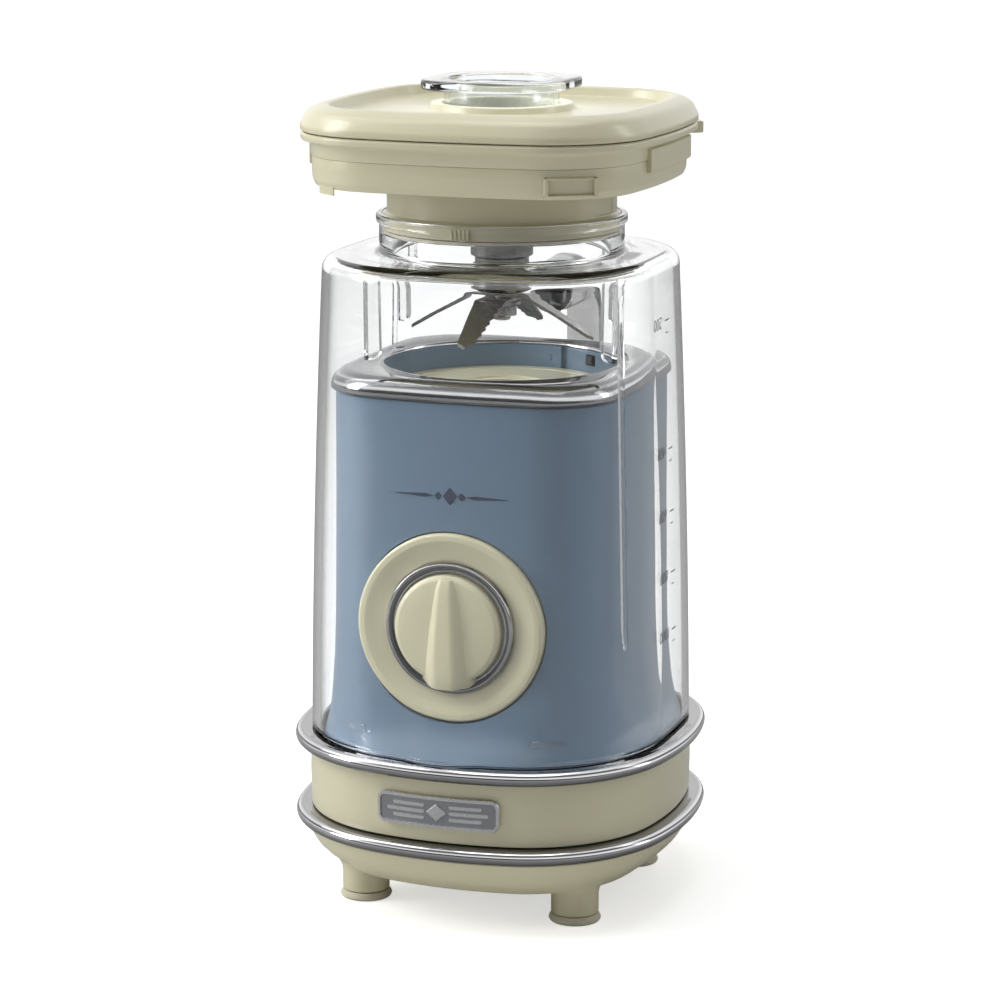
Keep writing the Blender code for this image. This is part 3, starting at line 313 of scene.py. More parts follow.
def rounded_square(half, side_radius, corner_radius):
    """Plan outline with bowed sides: four wide arcs joined by four corner arcs."""
    sweep = math.pi / 4 + math.asin(
        (half - side_radius) / (math.sqrt(2) * (side_radius - corner_radius)))
    side_centre = half - side_radius
    corner_centre = (side_radius - corner_radius) * math.sin(sweep)
    quarter = []
    for step in range(SIDE_STEPS + 1):
        angle = -sweep + 2 * sweep * step / SIDE_STEPS
        quarter.append(polar(side_radius, angle, side_centre))
    for step in range(1, CORNER_STEPS):
        angle = sweep + (math.pi / 2 - 2 * sweep) * step / CORNER_STEPS
        quarter.append(polar(corner_radius, angle, corner_centre, corner_centre))
    return [Matrix.Rotation(turn * math.pi / 2, 2) @ point for turn in range(4) for point in quarter]


BASE_BOW = 0.118        # radius of the bowed sides of the base
HOUSING_BOW = 0.297     # and of the housing


def base_plan(half):
    return rounded_square(half, BASE_BOW, half - 0.0152)


def housing_plan(half):
    return rounded_square(half, HOUSING_BOW, 0.024 + max(0.0, half - 0.0500) * 3.0)


def jar_plan(half):
    return rounded_square(half, 0.55, half - 0.0120)


def lid_plan(half):
    return rounded_square(half, 0.25, half - 0.0260)


def cap_plan(half):
    return rounded_square(half, 0.15, half - 0.0100)


def circle(radius):
    """Circle with as many points as a rounded square, at nearly the same bearings."""
    return [point.normalized() * radius for point in base_plan(0.060)]


def rounded(points, closed=False):
    """Profile of (across, up) points, where a third number rounds that corner."""
    result = []
    count = len(points)
    for index, point in enumerate(points):
        here = Vector(point[:2])
        radius = point[2] if len(point) > 2 else 0.0
        inside = closed or 0 < index < count - 1
        if not radius or not inside:
            result.append(here)
            continue
        before = (Vector(points[index - 1][:2]) - here).normalized()
        after = (Vector(points[(index + 1) % count][:2]) - here).normalized()
        half_angle = before.angle(after) / 2
        reach = radius / math.tan(half_angle)
        centre = here + (before + after).normalized() * radius / math.sin(half_angle)
        start, end = here + before * reach - centre, here + after * reach - centre
        turn = start.angle_signed(end)
        steps = max(2, round(abs(math.degrees(turn)) / 15))
        for step in range(steps + 1):
            spin = Matrix.Rotation(-turn * step / steps, 2)
            result.append(centre + spin @ start)
    return result


def smooth(stations, steps):
    """Points on a soft curve through (up, across) stations that rise steadily."""
    heights = [z for z, _ in stations]
    values = [v for _, v in stations]
    slopes = []
    for i in range(len(stations)):
        low, high = max(0, i - 1), min(len(stations) - 1, i + 1)
        slopes.append((values[high] - values[low]) / (heights[high] - heights[low]))
    result = []
    for i in range(len(stations) - 1):
        span = heights[i + 1] - heights[i]
        for step in range(steps):
            t = step / steps
            value = ((2 * t ** 3 - 3 * t ** 2 + 1) * values[i]
                     + (t ** 3 - 2 * t ** 2 + t) * span * slopes[i]
                     + (3 * t ** 2 - 2 * t ** 3) * values[i + 1]
                     + (t ** 3 - t ** 2) * span * slopes[i + 1])
            result.append((heights[i] + t * span, value))
    result.append(stations[-1])
    return result


# ---- mesh building --------------------------------------------------------------------
def level(points, z):
    return [Vector((point[0], point[1], z)) for point in points]


def skin(rows, closed=False):
    """Joins equal rows of points with quads. A closed skin joins its last row to its first
    one, and an open one gets a cap at both ends."""
    bm = bmesh.new()
    made = [[bm.verts.new(point) for point in row] for row in rows]
    pairs = list(zip(made, made[1:]))
    if closed:
        pairs.append((made[-1], made[0]))
    count = len(made[0])
    for lower, upper in pairs:
        for i in range(count):
            j = (i + 1) % count
            bm.faces.new((lower[i], lower[j], upper[j], upper[i]))
    if not closed:
        bm.faces.new(made[0])
        bm.faces.new(made[-1])
    clean(bm)
    return bm


def clean(bm):
    bmesh.ops.remove_doubles(bm, verts=bm.verts, dist=1e-7)
    bmesh.ops.dissolve_degenerate(bm, dist=1e-7, edges=bm.edges)
    bmesh.ops.recalc_face_normals(bm, faces=bm.faces)


def plan_loft(section, closed=True):
    """Lofts (plan, half, z) rows."""
    return skin([level(plan(half), z) for plan, half, z in section], closed)


def on(plan, points):
    """Loft rows of one plan through (half, z) points."""
    return [(plan, half, z) for half, z in points]


def plan_ring(plan, section):
    """Ring whose closed section is given as (half, z) or (half, z, rounding) points."""
    return plan_loft(on(plan, rounded(section, closed=True)))


def turned(profile, segments):
    """Spins a closed (radius, height) profile, with optional roundings, round local Z."""
    angles = [2 * math.pi * k / segments for k in range(segments)]
    return skin([level([polar(radius, angle) for angle in angles], z)
                 for radius, z in rounded(profile, closed=True)], closed=True)


def rod(radius, low, high, segments):
    """Solid round bar, for cutting a round hole."""
    return turned([(0, low), (radius, low), (radius, high), (0, high)], segments)


def prism(outline, low, high, rounding=0.0):
    """Straight plate from a closed outline in local XY, with rounded long edges."""
    outline = [Vector(point) for point in outline]
    if rounding:
        centre = sum(outline, Vector((0, 0))) / len(outline)
        inset = [point + (centre - point).normalized() * rounding for point in outline]
        rows = [level(inset, low), level(outline, low + rounding),
                level(outline, high - rounding), level(inset, high)]
    else:
        rows = [level(outline, low), level(outline, high)]
    return skin(rows)


def rounded_rectangle(width, height, radius, steps=5):
    points = []
    for turn, (sx, sy) in enumerate(((1, 1), (-1, 1), (-1, -1), (1, -1))):
        for step in range(steps + 1):
            angle = math.radians(90 * turn + 90 * step / steps)
            points.append(polar(radius, angle, sx * (width / 2 - radius), sy * (height / 2 - radius)))
    return points


def lozenge(half_width, half_height, x=0.0):
    return [(x + half_width, 0), (x, half_height), (x - half_width, 0), (x, -half_height)]


def block(low, high, rounding=0.0004):
    """Box with softened edges."""
    bm = bmesh.new()
    centre = (Vector(low) + Vector(high)) / 2
    size = Vector(high) - Vector(low)
    bmesh.ops.create_cube(bm, size=1.0, matrix=shift(centre) @ Matrix.Diagonal((*size, 1.0)))
    bmesh.ops.bevel(bm, geom=bm.edges, offset=rounding, segments=3, profile=0.5, affect="EDGES")
    return bm


UPRIGHT = Matrix.Rotation(math.pi / 2, 4, "X")      # stands a flat plate up, facing -Y
shift = Matrix.Translation


def turn_z(degrees):
    return Matrix.Rotation(math.radians(degrees), 4, "Z")


def moved(bm, matrix):
    bmesh.ops.transform(bm, matrix=matrix, verts=bm.verts)
    return bm


def joined(*parts):
    """Several meshes in one. It frees them."""
    result = bmesh.new()
    for part in parts:
        mesh = bpy.data.meshes.new("part")
        part.to_mesh(mesh)
        part.free()
        result.from_mesh(mesh)
        bpy.data.meshes.remove(mesh)
    return result


def combined(bm, tool, operation):
    """Exact union or difference of two closed meshes. It frees both."""
    objects = []
    for source in (bm, tool):
        mesh = bpy.data.meshes.new("boolean")
        source.to_mesh(mesh)
        source.free()
        objects.append(add_object("boolean", mesh))
    subject, cutter = objects
    modifier = subject.modifiers.new("boolean", "BOOLEAN")
    modifier.operation = operation
    modifier.solver = "EXACT"
    modifier.object = cutter
    bpy.context.view_layer.update()
    evaluated = subject.evaluated_get(bpy.context.evaluated_depsgraph_get())
    result = bmesh.new()
    result.from_mesh(evaluated.data)
    for made in objects:
        mesh = made.data
        bpy.data.objects.remove(made)
        bpy.data.meshes.remove(mesh)
    return result


def cut(bm, *tools):
    return combined(bm, joined(*tools), "DIFFERENCE")


def united(bm, tool):
    return combined(bm, tool, "UNION")


def add_object(name, data):
    made = bpy.data.objects.new(name, data)
    bpy.context.scene.collection.objects.link(made)
    return made


def piece(name, bm, material, body, replaces=(), sharp=34, place=Matrix()):
    """Finished piece at the blender's axis, shaded with a material and riding on a body."""
    moved(bm, place)
    mesh = bpy.data.meshes.new(name)
    bm.to_mesh(mesh)
    bm.free()
    mesh.shade_smooth()
    mesh.set_sharp_from_angle(angle=math.radians(sharp))
    mesh.materials.append(material)
    made = add_object(name, mesh)
    made.location = AXIS
    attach(made, body)
    if replaces:
        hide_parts(*replaces)


def four_corners(x, y):
    return [(sx * x, sy * y) for sx in (-1, 1) for sy in (-1, 1)]


# ---- base -----------------------------------------------------------------------------
def build_pan():
    """Bowl-shaped tray with four flared legs, louvres in both flanks and floor vents."""
    floor, rim = bottom("bottom_pan") + 0.0090, top("bottom_pan")
    outer = rounded([(0.0470, floor), (0.0518, floor, 0.006), (0.0606, 0.0132, 0.014),
                     (0.0640, rim - 0.0004, 0.0), (0.0638, rim)])
    inner = rounded([(0.0616, rim), (0.0612, rim - 0.001), (0.0584, 0.0146, 0.006),
                     (0.0510, floor + 0.0024, 0.003), (0.0460, floor + 0.0024)])
    pan = plan_loft(on(base_plan, outer + inner), closed=False)
    leg_low = FOOT_TOP + 0.0003
    leg = [(0, leg_low), (0.0079, leg_low, 0.0004), (0.0079, 0.0052, 0.006), (0.0112, 0.0112),
           (0, 0.0112)]
    legs = four_corners(FOOT_PLACE.x, FOOT_PLACE.y)
    for x, y in legs:
        pan = united(pan, moved(turned(leg, 40), shift((x, y, 0))))
    louvre = rounded_rectangle(0.0062, 0.0020, 0.00095)
    across = Matrix.Rotation(math.pi / 2, 4, "Y")
    pan = cut(pan, *[moved(prism(louvre, -0.008, 0.008), shift((x, y, 0.0132)) @ across)
                     for x in (-0.060, 0.060) for y in (-0.0120, -0.0065, -0.0010, 0.0045, 0.0100)])
    vent = rounded_rectangle(0.036, 0.0024, 0.0011)
    vents = [moved(prism(vent, floor - 0.002, floor + 0.005), shift((0, y, 0)))
             for y in (-0.015, -0.0075, 0.0, 0.0075, 0.015)]
    wells = [moved(rod(0.0036, FOOT_BOTTOM, 0.0078, 24), shift((x, y, 0))) for x, y in legs]
    piece("pan", cut(pan, *vents, *wells), IVORY, "base", ["bottom_pan"])


def build_feet():
    """Rubber pads with a raised ring, standing in the legs."""
    height, pad = FOOT_TOP - FOOT_BOTTOM, FOOT_RADIUS
    profile = [(0, 0.0011), (0.0030, 0.0011, 0.0002), (0.0034, 0, 0.0003), (0.0056, 0, 0.0002),
               (0.0060, 0.0005, 0.0002), (0.0066, 0.0005, 0.0002), (0.0070, 0, 0.0003),
               (pad - 0.0005, 0, 0.0004), (pad, 0.0009, 0.0004), (0.0082, 0.0020, 0.0006),
               (0.0077, height, 0.0002), (0, height)]
    names = ("foot_front_left", "foot_rear_left", "foot_front_right", "foot_rear_right")
    for name, (x, y) in zip(names, four_corners(FOOT_PLACE.x, FOOT_PLACE.y)):
        piece("pad_" + name, turned(profile, 48), RUBBER, "base", [name],
              place=shift((x, y, FOOT_BOTTOM)))


def build_rings():
    """Chrome beads above and below the band, each with the flat shelf that is clamped inside."""
    centre, shelf, inner = RING_HALF - RING_BEAD, RING_BEAD - 0.0001, 0.0580
    for name in ("lower_ring", "upper_ring"):
        z = middle(name).z
        section = [polar(RING_BEAD, math.radians(-110 + 220 * step / 16), centre, z)
                   for step in range(17)]
        section += [(centre - 0.0016, z + shelf, 0.0003), (inner, z + shelf), (inner, z - shelf),
                    (centre - 0.0016, z - shelf, 0.0003)]
        piece("chrome_" + name, plan_ring(base_plan, section), RING_CHROME, "base", [name])


def build_band():
    """Bowed band between the beads, with a hole for the cord gland."""
    low, high, half = extent("base_band")
    edge, inside = half - 0.0004, half - 0.0026
    section = [(edge, low, 0.0005), (half, (low + high) / 2, 0.20), (edge, high, 0.0005),
               (inside, high), (inside, low)]
    gland = middle("cord_gland")
    hole = moved(rod(0.0053, -0.010, 0.010, 40), shift((gland.x, half, gland.z))
                 @ Matrix.Rotation(-math.pi / 2, 4, "X"))
    piece("band", cut(plan_ring(base_plan, section), hole), IVORY, "base", ["base_band"])


def bent(bm, radius, seat):
    """Slices a plate modelled in local XY, thickness along Z, and wraps it round the front."""
    for step in range(-10, 11):
        bmesh.ops.bisect_plane(bm, geom=bm.verts[:] + bm.edges[:] + bm.faces[:],
                               plane_co=(step * 0.002, 0, 0), plane_no=(1, 0, 0))
    for vert in bm.verts:
        angle = vert.co.x / radius
        reach = radius + vert.co.z
        vert.co = Vector((reach * math.sin(angle), radius - seat - reach * math.cos(angle), vert.co.y))
    return bm


def build_badge():
    """Plain badge: a raised bright rim round a grey field with a bar and lozenge pattern."""
    length, height = 0.0420, 0.0106

    def plate(margin, corner, *thickness):
        return prism(rounded_rectangle(length - margin, height - margin, corner, 8), *thickness)

    marks = []
    for sign in (-1, 1):
        for row, reach in ((-1, 0.0110), (0, 0.0132), (1, 0.0110)):
            bar = prism(rounded_rectangle(reach, 0.0011, 0.0005), 0.00090, 0.0012, 0.0001)
            marks.append(moved(bar, shift((sign * (0.0042 + reach / 2), row * 0.0021, 0))))
    marks.append(prism(lozenge(0.0034, 0.0030), 0.00090, 0.0013, 0.0002))
    rim = cut(plate(0, 0.0026, 0, 0.0013, 0.0003), plate(0.0022, 0.0017, 0.0008, 0.003))
    lift = shift((0, 0, middle("name_plate").z))
    seat = half_width("base_band") + 0.0003
    for part, bm, finish, replaces in (
            ("frame", rim, BADGE, ["name_plate"]),
            ("field", plate(0.0024, 0.0016, 0.00082, 0.00095), BADGE_FIELD, ()),
            ("pattern", joined(*marks), BADGE, ())):
        piece("badge_" + part, bent(bm, BASE_BOW, seat), finish, "base", replaces, place=lift)


# ---- motor housing and well -----------------------------------------------------------
HOUSING_SIDES = smooth([(0.0505, 0.0572), (0.0535, 0.0556), (0.0585, 0.0530), (0.0660, 0.0511),
                        (0.0800, 0.0497), (0.1200, 0.0490), (HOUSING_TOP - 0.0004, 0.0486)], 4)


def build_housing():
    """Blue body: straight above, flaring out to the upper ring, with the knob's opening."""
    wall = 0.0022
    rows = [(0.0572, HOUSING_BOTTOM)] + [(half, z) for z, half in HOUSING_SIDES]
    rows += [(0.0482, HOUSING_TOP), (0.0486 - wall, HOUSING_TOP), (0.0495 - wall, 0.0800),
             (0.0525 - wall, 0.0585), (0.0566 - wall, 0.0505), (0.0572 - wall, HOUSING_BOTTOM)]
    opening = moved(rod(BEZEL_RADIUS + 0.0005, -0.012, 0.012, 96),
                    shift((0, -0.047, KNOB_Z)) @ UPRIGHT)
    piece("housing", cut(plan_loft(on(housing_plan, rows)), opening), BLUE, "base",
          ["motor_housing"])


def build_trim():
    """Chrome cap on the housing: round outer edge, narrow flat top and a lip at the well."""
    low, high, half = extent("top_trim")
    inside = half - 0.0014
    rows = on(housing_plan, rounded([(half - 0.0004, low), (half, low + 0.0006, 0.0004),
                                     (half - 0.0004, high, 0.0046), (0.0445, high)]))
    rows += on(circle, [(WELL_RADIUS + out, high - drop) for out, drop in (
        (0.0028, 0.0003), (0.0020, 0.0006), (0.0012, 0.0001), (0.0006, 0.0001), (0.0001, 0.0006),
        (0.0001, 0.0014))])
    rows += on(housing_plan, [(half - 0.0036, high - 0.0014), (inside, low + 0.002), (inside, low)])
    piece("trim", plan_loft(rows), TRIM_CHROME, "base", ["top_trim"], sharp=50)


def build_well():
    """Blue well wall with a groove, the interlock's slot and a nib, over an ivory deck."""
    low, high = bottom("well_wall"), top("well_wall")
    outer = WELL_RADIUS + 0.0018
    slider = middle("interlock_slider")
    bearing = math.degrees(math.atan2(slider.y, slider.x))
    wall = turned([(WELL_RADIUS, low), (outer, low), (outer, high, 0.0003),
                   (WELL_RADIUS, high, 0.0004)], 120)
    slot = block((0.036, -0.0024, slider.z - 0.0019), (0.046, 0.0024, slider.z + 0.0019), 0.0003)
    groove = block((WELL_RADIUS - 0.002, -0.0014, low - 0.001),
                   (WELL_RADIUS + 0.0012, 0.0014, high + 0.002))
    wall = cut(wall, moved(slot, turn_z(bearing)), moved(groove, turn_z(bearing + 18)))
    piece("well", wall, BLUE, "base", ["well_wall"])
    nib = turned([(0, -0.001), (0.0012, -0.001), (0.0012, 0.0005, 0.0004), (0, 0.0005)], 24)
    inward = shift((WELL_RADIUS + 0.0002, 0, high - 0.0040)) @ Matrix.Rotation(-math.pi / 2, 4, "Y")
    piece("well_nib", moved(nib, turn_z(bearing + 27) @ inward), BLUE, "base")

    under, deck_top, edge = DECK_BOTTOM, DECK_TOP, WELL_RADIUS - 0.0003
    hole = half_width("drive_coupling") + 0.0024
    deck = [(hole, under), (edge, under), (edge, deck_top, 0.0002), (0.0345, deck_top),
            (0.0342, deck_top - 0.0004, 0.0002), (0.0335, deck_top - 0.0004, 0.0002),
            (0.0332, deck_top), (0.0165, deck_top, 0.0006), (0.0160, deck_top + 0.0008, 0.0003),
            (0.0148, deck_top + 0.0008, 0.0003), (0.0143, deck_top, 0.0005),
            (hole, deck_top, 0.0003)]
    piece("deck", turned(deck, 120), IVORY, "base", ["well_deck"])


# ---- control knob ---------------------------------------------------------------------
KNOB_FACE = shift((0, BEZEL_BACK, KNOB_Z)) @ UPRIGHT


def build_bezel():
    """Wide dished surround and the stepped chrome ring inside it, with a cone in the ring painted dark
    as painted shade and dark reflection.
    """
    radius, ring = BEZEL_RADIUS, half_width("knob_ring")
    dish = [(0.0040, 0), (radius, 0), (radius, 0.0046, 0.0011), (0.0290, 0.0046, 0.0012),
            (0.0262, 0.0037, 0.004), (0.0236, 0.0031, 0.003), (0.0220, 0.0029, 0.0004),
            (0.0220, 0.0026), (0.0040, 0.0026)]
    step = [(0.0186, 0.0030), (ring, 0.0030), (ring, 0.0050, 0.0006),
            (ring - 0.0014, 0.0053, 0.0006), (ring - 0.0016, 0.0045, 0.0002),
            (0.0197, 0.0036, 0.0002), (0.0195, 0.0041, 0.0003), (0.0186, 0.0042, 0.0003)]
    cone = [(0.0196, 0.0037), (ring - 0.0016, 0.0046), (ring - 0.0012, 0.0053),
            (ring - 0.0018, 0.0052, 0.0002), (0.0196, 0.0042, 0.0002)]
    for name, profile, finish, replaces in (("bezel", dish, IVORY, ["knob_bezel"]),
                                            ("ring", step, TRIM_CHROME, ["knob_ring"]),
                                            ("ring_cone", cone, CHROME_PAINTED_DARK, ())):
        piece(name, turned(profile, 128), finish, "base", replaces, place=KNOB_FACE)


def grip():
    """Tapered grip in the knob's frame: narrow and low at +Y, broad and tall at -Y."""
    stations = [(0.0174, 0.0030, 0.0070), (0.0168, 0.0042, 0.0082), (0.0140, 0.0052, 0.0092),
                (0.0080, 0.0064, 0.0100), (0.0000, 0.0077, 0.0106), (-0.0080, 0.0087, 0.0109),
                (-0.0140, 0.0092, 0.0109), (-0.0174, 0.0090, 0.0108), (-0.0190, 0.0078, 0.0104),
                (-0.0195, 0.0060, 0.0096)]
    foot, root, crown, steps = 0.0040, 0.0045, 0.34, 16     # crown: share of the width that is flat
    rows = []
    for y, half, height in stations:
        row = []
        for step in range(steps + 1):
            across = -1 + 2 * step / steps
            slope = max(0.0, (abs(across) - crown) / (1 - crown))
            row.append(Vector((across * half, y, root + (height - root) * (1 - slope ** 1.4))))
        rows.append(row + [Vector((half, y, foot)), Vector((-half, y, foot))])
    return skin(rows)


def build_knob():
    disc = [(0, 0.0034), (0.0170, 0.0034), (0.0180, 0.0042, 0.0006), (0.0180, 0.0066, 0.0010),
            (0.0165, 0.0074, 0.0012), (0.0120, 0.0077, 0.01), (0, 0.0078)]
    knob = united(turned(disc, 120), grip())
    piece("knob_grip", cut(knob, rod(0.0033, 0.0, 0.0058, 32)), IVORY, "control_knob", ["knob"],
          sharp=38, place=KNOB_FACE)


# ---- jar ------------------------------------------------------------------------------
SPOUT_DEPTH = 0.0042
SPOUT_HALF_WIDTH = 0.0170
SPOUT_HEIGHT = 0.0700
WALL_TOP = 0.2050          # where the walls turn into the shoulder
MOUTH_HALF = 0.0610        # outer half width of the walls at the mouth
WALL_TAPER = 0.0021        # what they lose of it steadily up to their top
WALL_BOW = 0.0027          # and what they lose on top of that, mostly near the shoulder


def spouted(half, z):
    """Jar outline with the pouring spout swelling out at the middle of the front."""
    fade = max(0.0, 1.0 - (z - JAR_MOUTH) / SPOUT_HEIGHT) ** 1.5
    points = []
    for point in jar_plan(half):
        away = abs(point.x) / SPOUT_HALF_WIDTH
        if point.y < 0 and away < 1:
            swell = SPOUT_DEPTH * fade * (1 + math.cos(math.pi * away)) / 2
            point = Vector((point.x, point.y - swell))
        points.append(point)
    return points


def wall_half(z):
    """Outer half width of the jar's tapered walls."""
    share = (z - JAR_MOUTH) / (WALL_TOP - JAR_MOUTH)
    return MOUTH_HALF - WALL_TAPER * share - WALL_BOW * share ** 2


def build_jar():
    """Clear jar, mouth down: tapered walls with a spout, a nearly flat shoulder and a short
    neck with a bead round its rim."""
    def walls(inset, heights):
        return [level(spouted(wall_half(z) - inset, z), z) for z in heights]

    lip = JAR_MOUTH + 0.0006
    heights = [lip + (WALL_TOP - lip) * step / 24 for step in range(25)]
    shoulder = rounded([(wall_half(WALL_TOP), WALL_TOP), (0.0560, 0.2116, 0.0048),
                        (0.0480, 0.2119, 0.004), (0.0450, 0.2120)])[1:]
    seat, throat, neck, bead = half_width("collar_seal") + 0.0005, 0.0365, 0.0406, 0.0416
    low, high, ledge = NECK_TOP - 0.0014, NECK_TOP + 0.0017, 0.2183
    neck_rows = rounded([(0.0446, 0.2121), (neck, 0.2123, 0.0014), (neck, low, 0.0003),
                         (bead, low + 0.0002, 0.0008), (bead, high, 0.0009), (seat, high, 0.0004),
                         (seat, ledge), (throat, ledge, 0.0004), (throat, 0.2096, 0.0008),
                         (throat + 0.0020, 0.2092)])
    inside = wall_half(WALL_TOP) - JAR_WALL
    roof = rounded([(0.0450, 0.2091), (inside - 0.0001, 0.2089, 0.0024), (inside + 0.0001, 0.2055)])
    rows = walls(0.0006, [JAR_MOUTH]) + walls(0, heights)
    rows += [level(jar_plan(half), z) for half, z in shoulder]
    rows += [level(circle(radius), z) for radius, z in neck_rows]
    rows += [level(jar_plan(half), z) for half, z in roof]
    rows += walls(JAR_WALL, [z for z in reversed(heights) if z < 0.2045])
    rows += walls(JAR_WALL - 0.0006, [JAR_MOUTH])
    piece("jar_shell", skin(rows, closed=True), CLEAR, "jar", ["jar"], sharp=40)


def jar_fitting(name, plate, place):
    """Clear plate that stands on edge on the jar's wall."""
    piece(name, moved(plate, UPRIGHT), CLEAR, "jar", place=place)


def build_jar_ribs():
    """Four stirring ribs inside the jar, next to its shoulder, with rounded lower ends."""
    length, depth = 0.0270, 0.0055
    outline = rounded([(0, 0), (depth, 0, 0.0026), (depth - 0.0006, length), (0, length)],
                      closed=True)
    for index in range(4):
        jar_fitting(f"jar_rib_{index + 1}", prism(outline, -0.0011, 0.0011, 0.0003),
                    turn_z(90 * index - 31) @ turn_z(180) @ shift((-0.0558, 0, 0.1812)))


def build_jar_flutes():
    """Two long shallow ribs down the inside of the walls, with pointed lower ends."""
    low, high = 0.0870, 0.2030
    outline = [(0, low), (0.0007, low + 0.0030), (0.0010, low + 0.0080), (0.0010, high - 0.004),
               (0, high)]
    lean = Matrix.Rotation(math.atan(0.03), 4, "Y")
    for index in range(2):
        jar_fitting(f"jar_flute_{index + 1}", prism(outline, -0.0009, 0.0009, 0.0002),
                    turn_z(180 * index - 29) @ turn_z(180) @ shift((-0.0623, 0, 0)) @ lean)


def build_jar_lugs():
    """Locking lugs that stand out from the jar's outer wall just above its mouth."""
    outline = rounded_rectangle(0.0120, 0.0022, 0.0008)
    for index, bearing in enumerate((-56, -124, 56, 124)):
        jar_fitting(f"jar_lug_{index + 1}", prism(outline, -0.0006, 0.0006, 0.0003),
                    turn_z(bearing + 90) @ shift((0, -0.0592, 0.0590)))


def numeral(text, size):
    """A number as thin solid lettering in local XY."""
    curve = bpy.data.curves.new("numeral", "FONT")
    curve.body = text
    curve.size = size
    curve.extrude = 0.00005
    curve.offset = -0.00008
    curve.align_x = "CENTER"
    curve.align_y = "CENTER"
    made = add_object("numeral", curve)
    bpy.context.view_layer.update()
    mesh = bpy.data.meshes.new_from_object(made.evaluated_get(bpy.context.evaluated_depsgraph_get()))
    bm = bmesh.new()
    bm.from_mesh(mesh)
    bpy.data.objects.remove(made)
    bpy.data.curves.remove(curve)
    bpy.data.meshes.remove(mesh)
    clean(bm)
    return bm


def build_scale():
    """Measuring scale printed upside down, as it reads once the jar stands on its base."""
    heights = {"200": 0.1915, "400": 0.1490, "600": 0.1280, "800": 0.1075, "1000": 0.0880}
    lean = Matrix.Rotation(math.atan(0.025), 4, "X")
    for text, z in heights.items():
        marks = [moved(numeral(text, 0.0058), shift((0.0065, 0, 0)))]
        for length, offset in ((0.0042, 0.0), (0.0026, 0.0042)):
            tick = prism(rounded_rectangle(length, 0.00045, 0.0002), -0.00005, 0.00005)
            marks.append(moved(tick, shift((-0.0035, offset, 0))))
        out = wall_half(z) + 0.00012
        piece(f"scale_{text}", moved(joined(*marks), turn_z(180)), PRINT, "jar",
              place=turn_z(90) @ shift((-0.0030, -out, z)) @ lean @ UPRIGHT)


def build_handle():
    """Open loop handle: a soft-edged bar swept down from the boss to the foot."""
    bar, end_thickness, squareness, sides = 0.0090, 0.0072, 0.55, 28
    root_top, root_low = wall_half(HANDLE_TOP) + 0.0003, wall_half(HANDLE_BOTTOM) + 0.0003
    reach = HANDLE_BACK - bar / 2
    upper, lower = HANDLE_TOP - 0.0072, HANDLE_BOTTOM + 0.0072
    line = rounded([(root_top, upper), (reach, upper, 0.0155), (reach, lower, 0.0155),
                    (root_low, lower)])
    path = [line[0]]
    for point in line[1:]:
        pieces = max(1, round((point - path[-1]).length / 0.004))
        start = path[-1].copy()
        path += [start.lerp(point, (k + 1) / pieces) for k in range(pieces)]
    rows = []
    for index, point in enumerate(path):
        before, after = path[max(0, index - 1)], path[min(len(path) - 1, index + 1)]
        along = (after - before).normalized()
        side = Vector((-along.y, along.x))
        upright = abs(along.y)
        thick = end_thickness * (1 - upright) + bar / 2 * upright
        row = []
        for k in range(sides):
            angle = 2 * math.pi * k / sides
            c, s = math.cos(angle), math.sin(angle)
            x = HANDLE_HALF * math.copysign(abs(c) ** squareness, c)
            spot = point + side * (thick * math.copysign(abs(s) ** squareness, s))
            row.append(Vector((x, spot.x, spot.y)))
        rows.append(row)
    piece("handle_loop", skin(rows), SMOKE, "jar", ["jar_handle"], sharp=50)
    boss = turned([(0, 0), (0.0078, 0, 0.0008), (0.0078, 0.0020), (0.0062, 0.0026, 0.0005),
                   (0, 0.0026)], 64)
    piece("handle_boss", boss, SMOKE, "jar",
          place=shift((0, wall_half(upper) - JAR_WALL - 0.0006, upper)) @ UPRIGHT)


# ---- blade unit -----------------------------------------------------------------------
def build_collar():
    """Ivory screw-out base of the jar, with a flange, a panel recess and a ribbed grip tab."""
    low, flange, radius, bore = FLANGE_BOTTOM, FLANGE_RADIUS, 0.0380, 0.0103
    inside = radius - 0.0024
    collar = turned([
        (bore, low), (flange, low, 0.0004), (flange, low + 0.0042, 0.0008),
        (radius + 0.0006, low + 0.0050, 0.0006), (radius, low + 0.0058, 0.0008),
        (radius, COLLAR_TOP, 0.0006), (inside, COLLAR_TOP, 0.0006),
        (inside, low + 0.0028, 0.0015), (bore, low + 0.0028, 0.0004)], 144)
    recess = moved(block((radius - 0.0007, -0.0060, 0.0275), (radius + 0.002, 0.0060, 0.0375), 0.0003),
                   shift((0, 0, low - 0.0215)))
    collar = cut(collar, *[moved(recess.copy(), turn_z(turn)) for turn in (-8, 172)])
    recess.free()
    piece("collar", collar, IVORY, "blade_base", ["blade_collar"])
    rib_low, rib_high = low + 0.0004, low + 0.0038
    for side, turn in (("front", -90), ("rear", 90)):
        ribs = [block((flange - 0.0012, -0.0034, rib_low), (flange + 0.0004, 0.0034, rib_high), 0.0002)]
        for k in range(5):
            y = -0.0028 + 0.0014 * k
            ribs.append(block((flange, y - 0.0004, rib_low), (flange + 0.0009, y + 0.0004, rib_high),
                              0.0002))
        piece(f"collar_grip_{side}", moved(joined(*ribs), turn_z(turn)), IVORY, "blade_base")


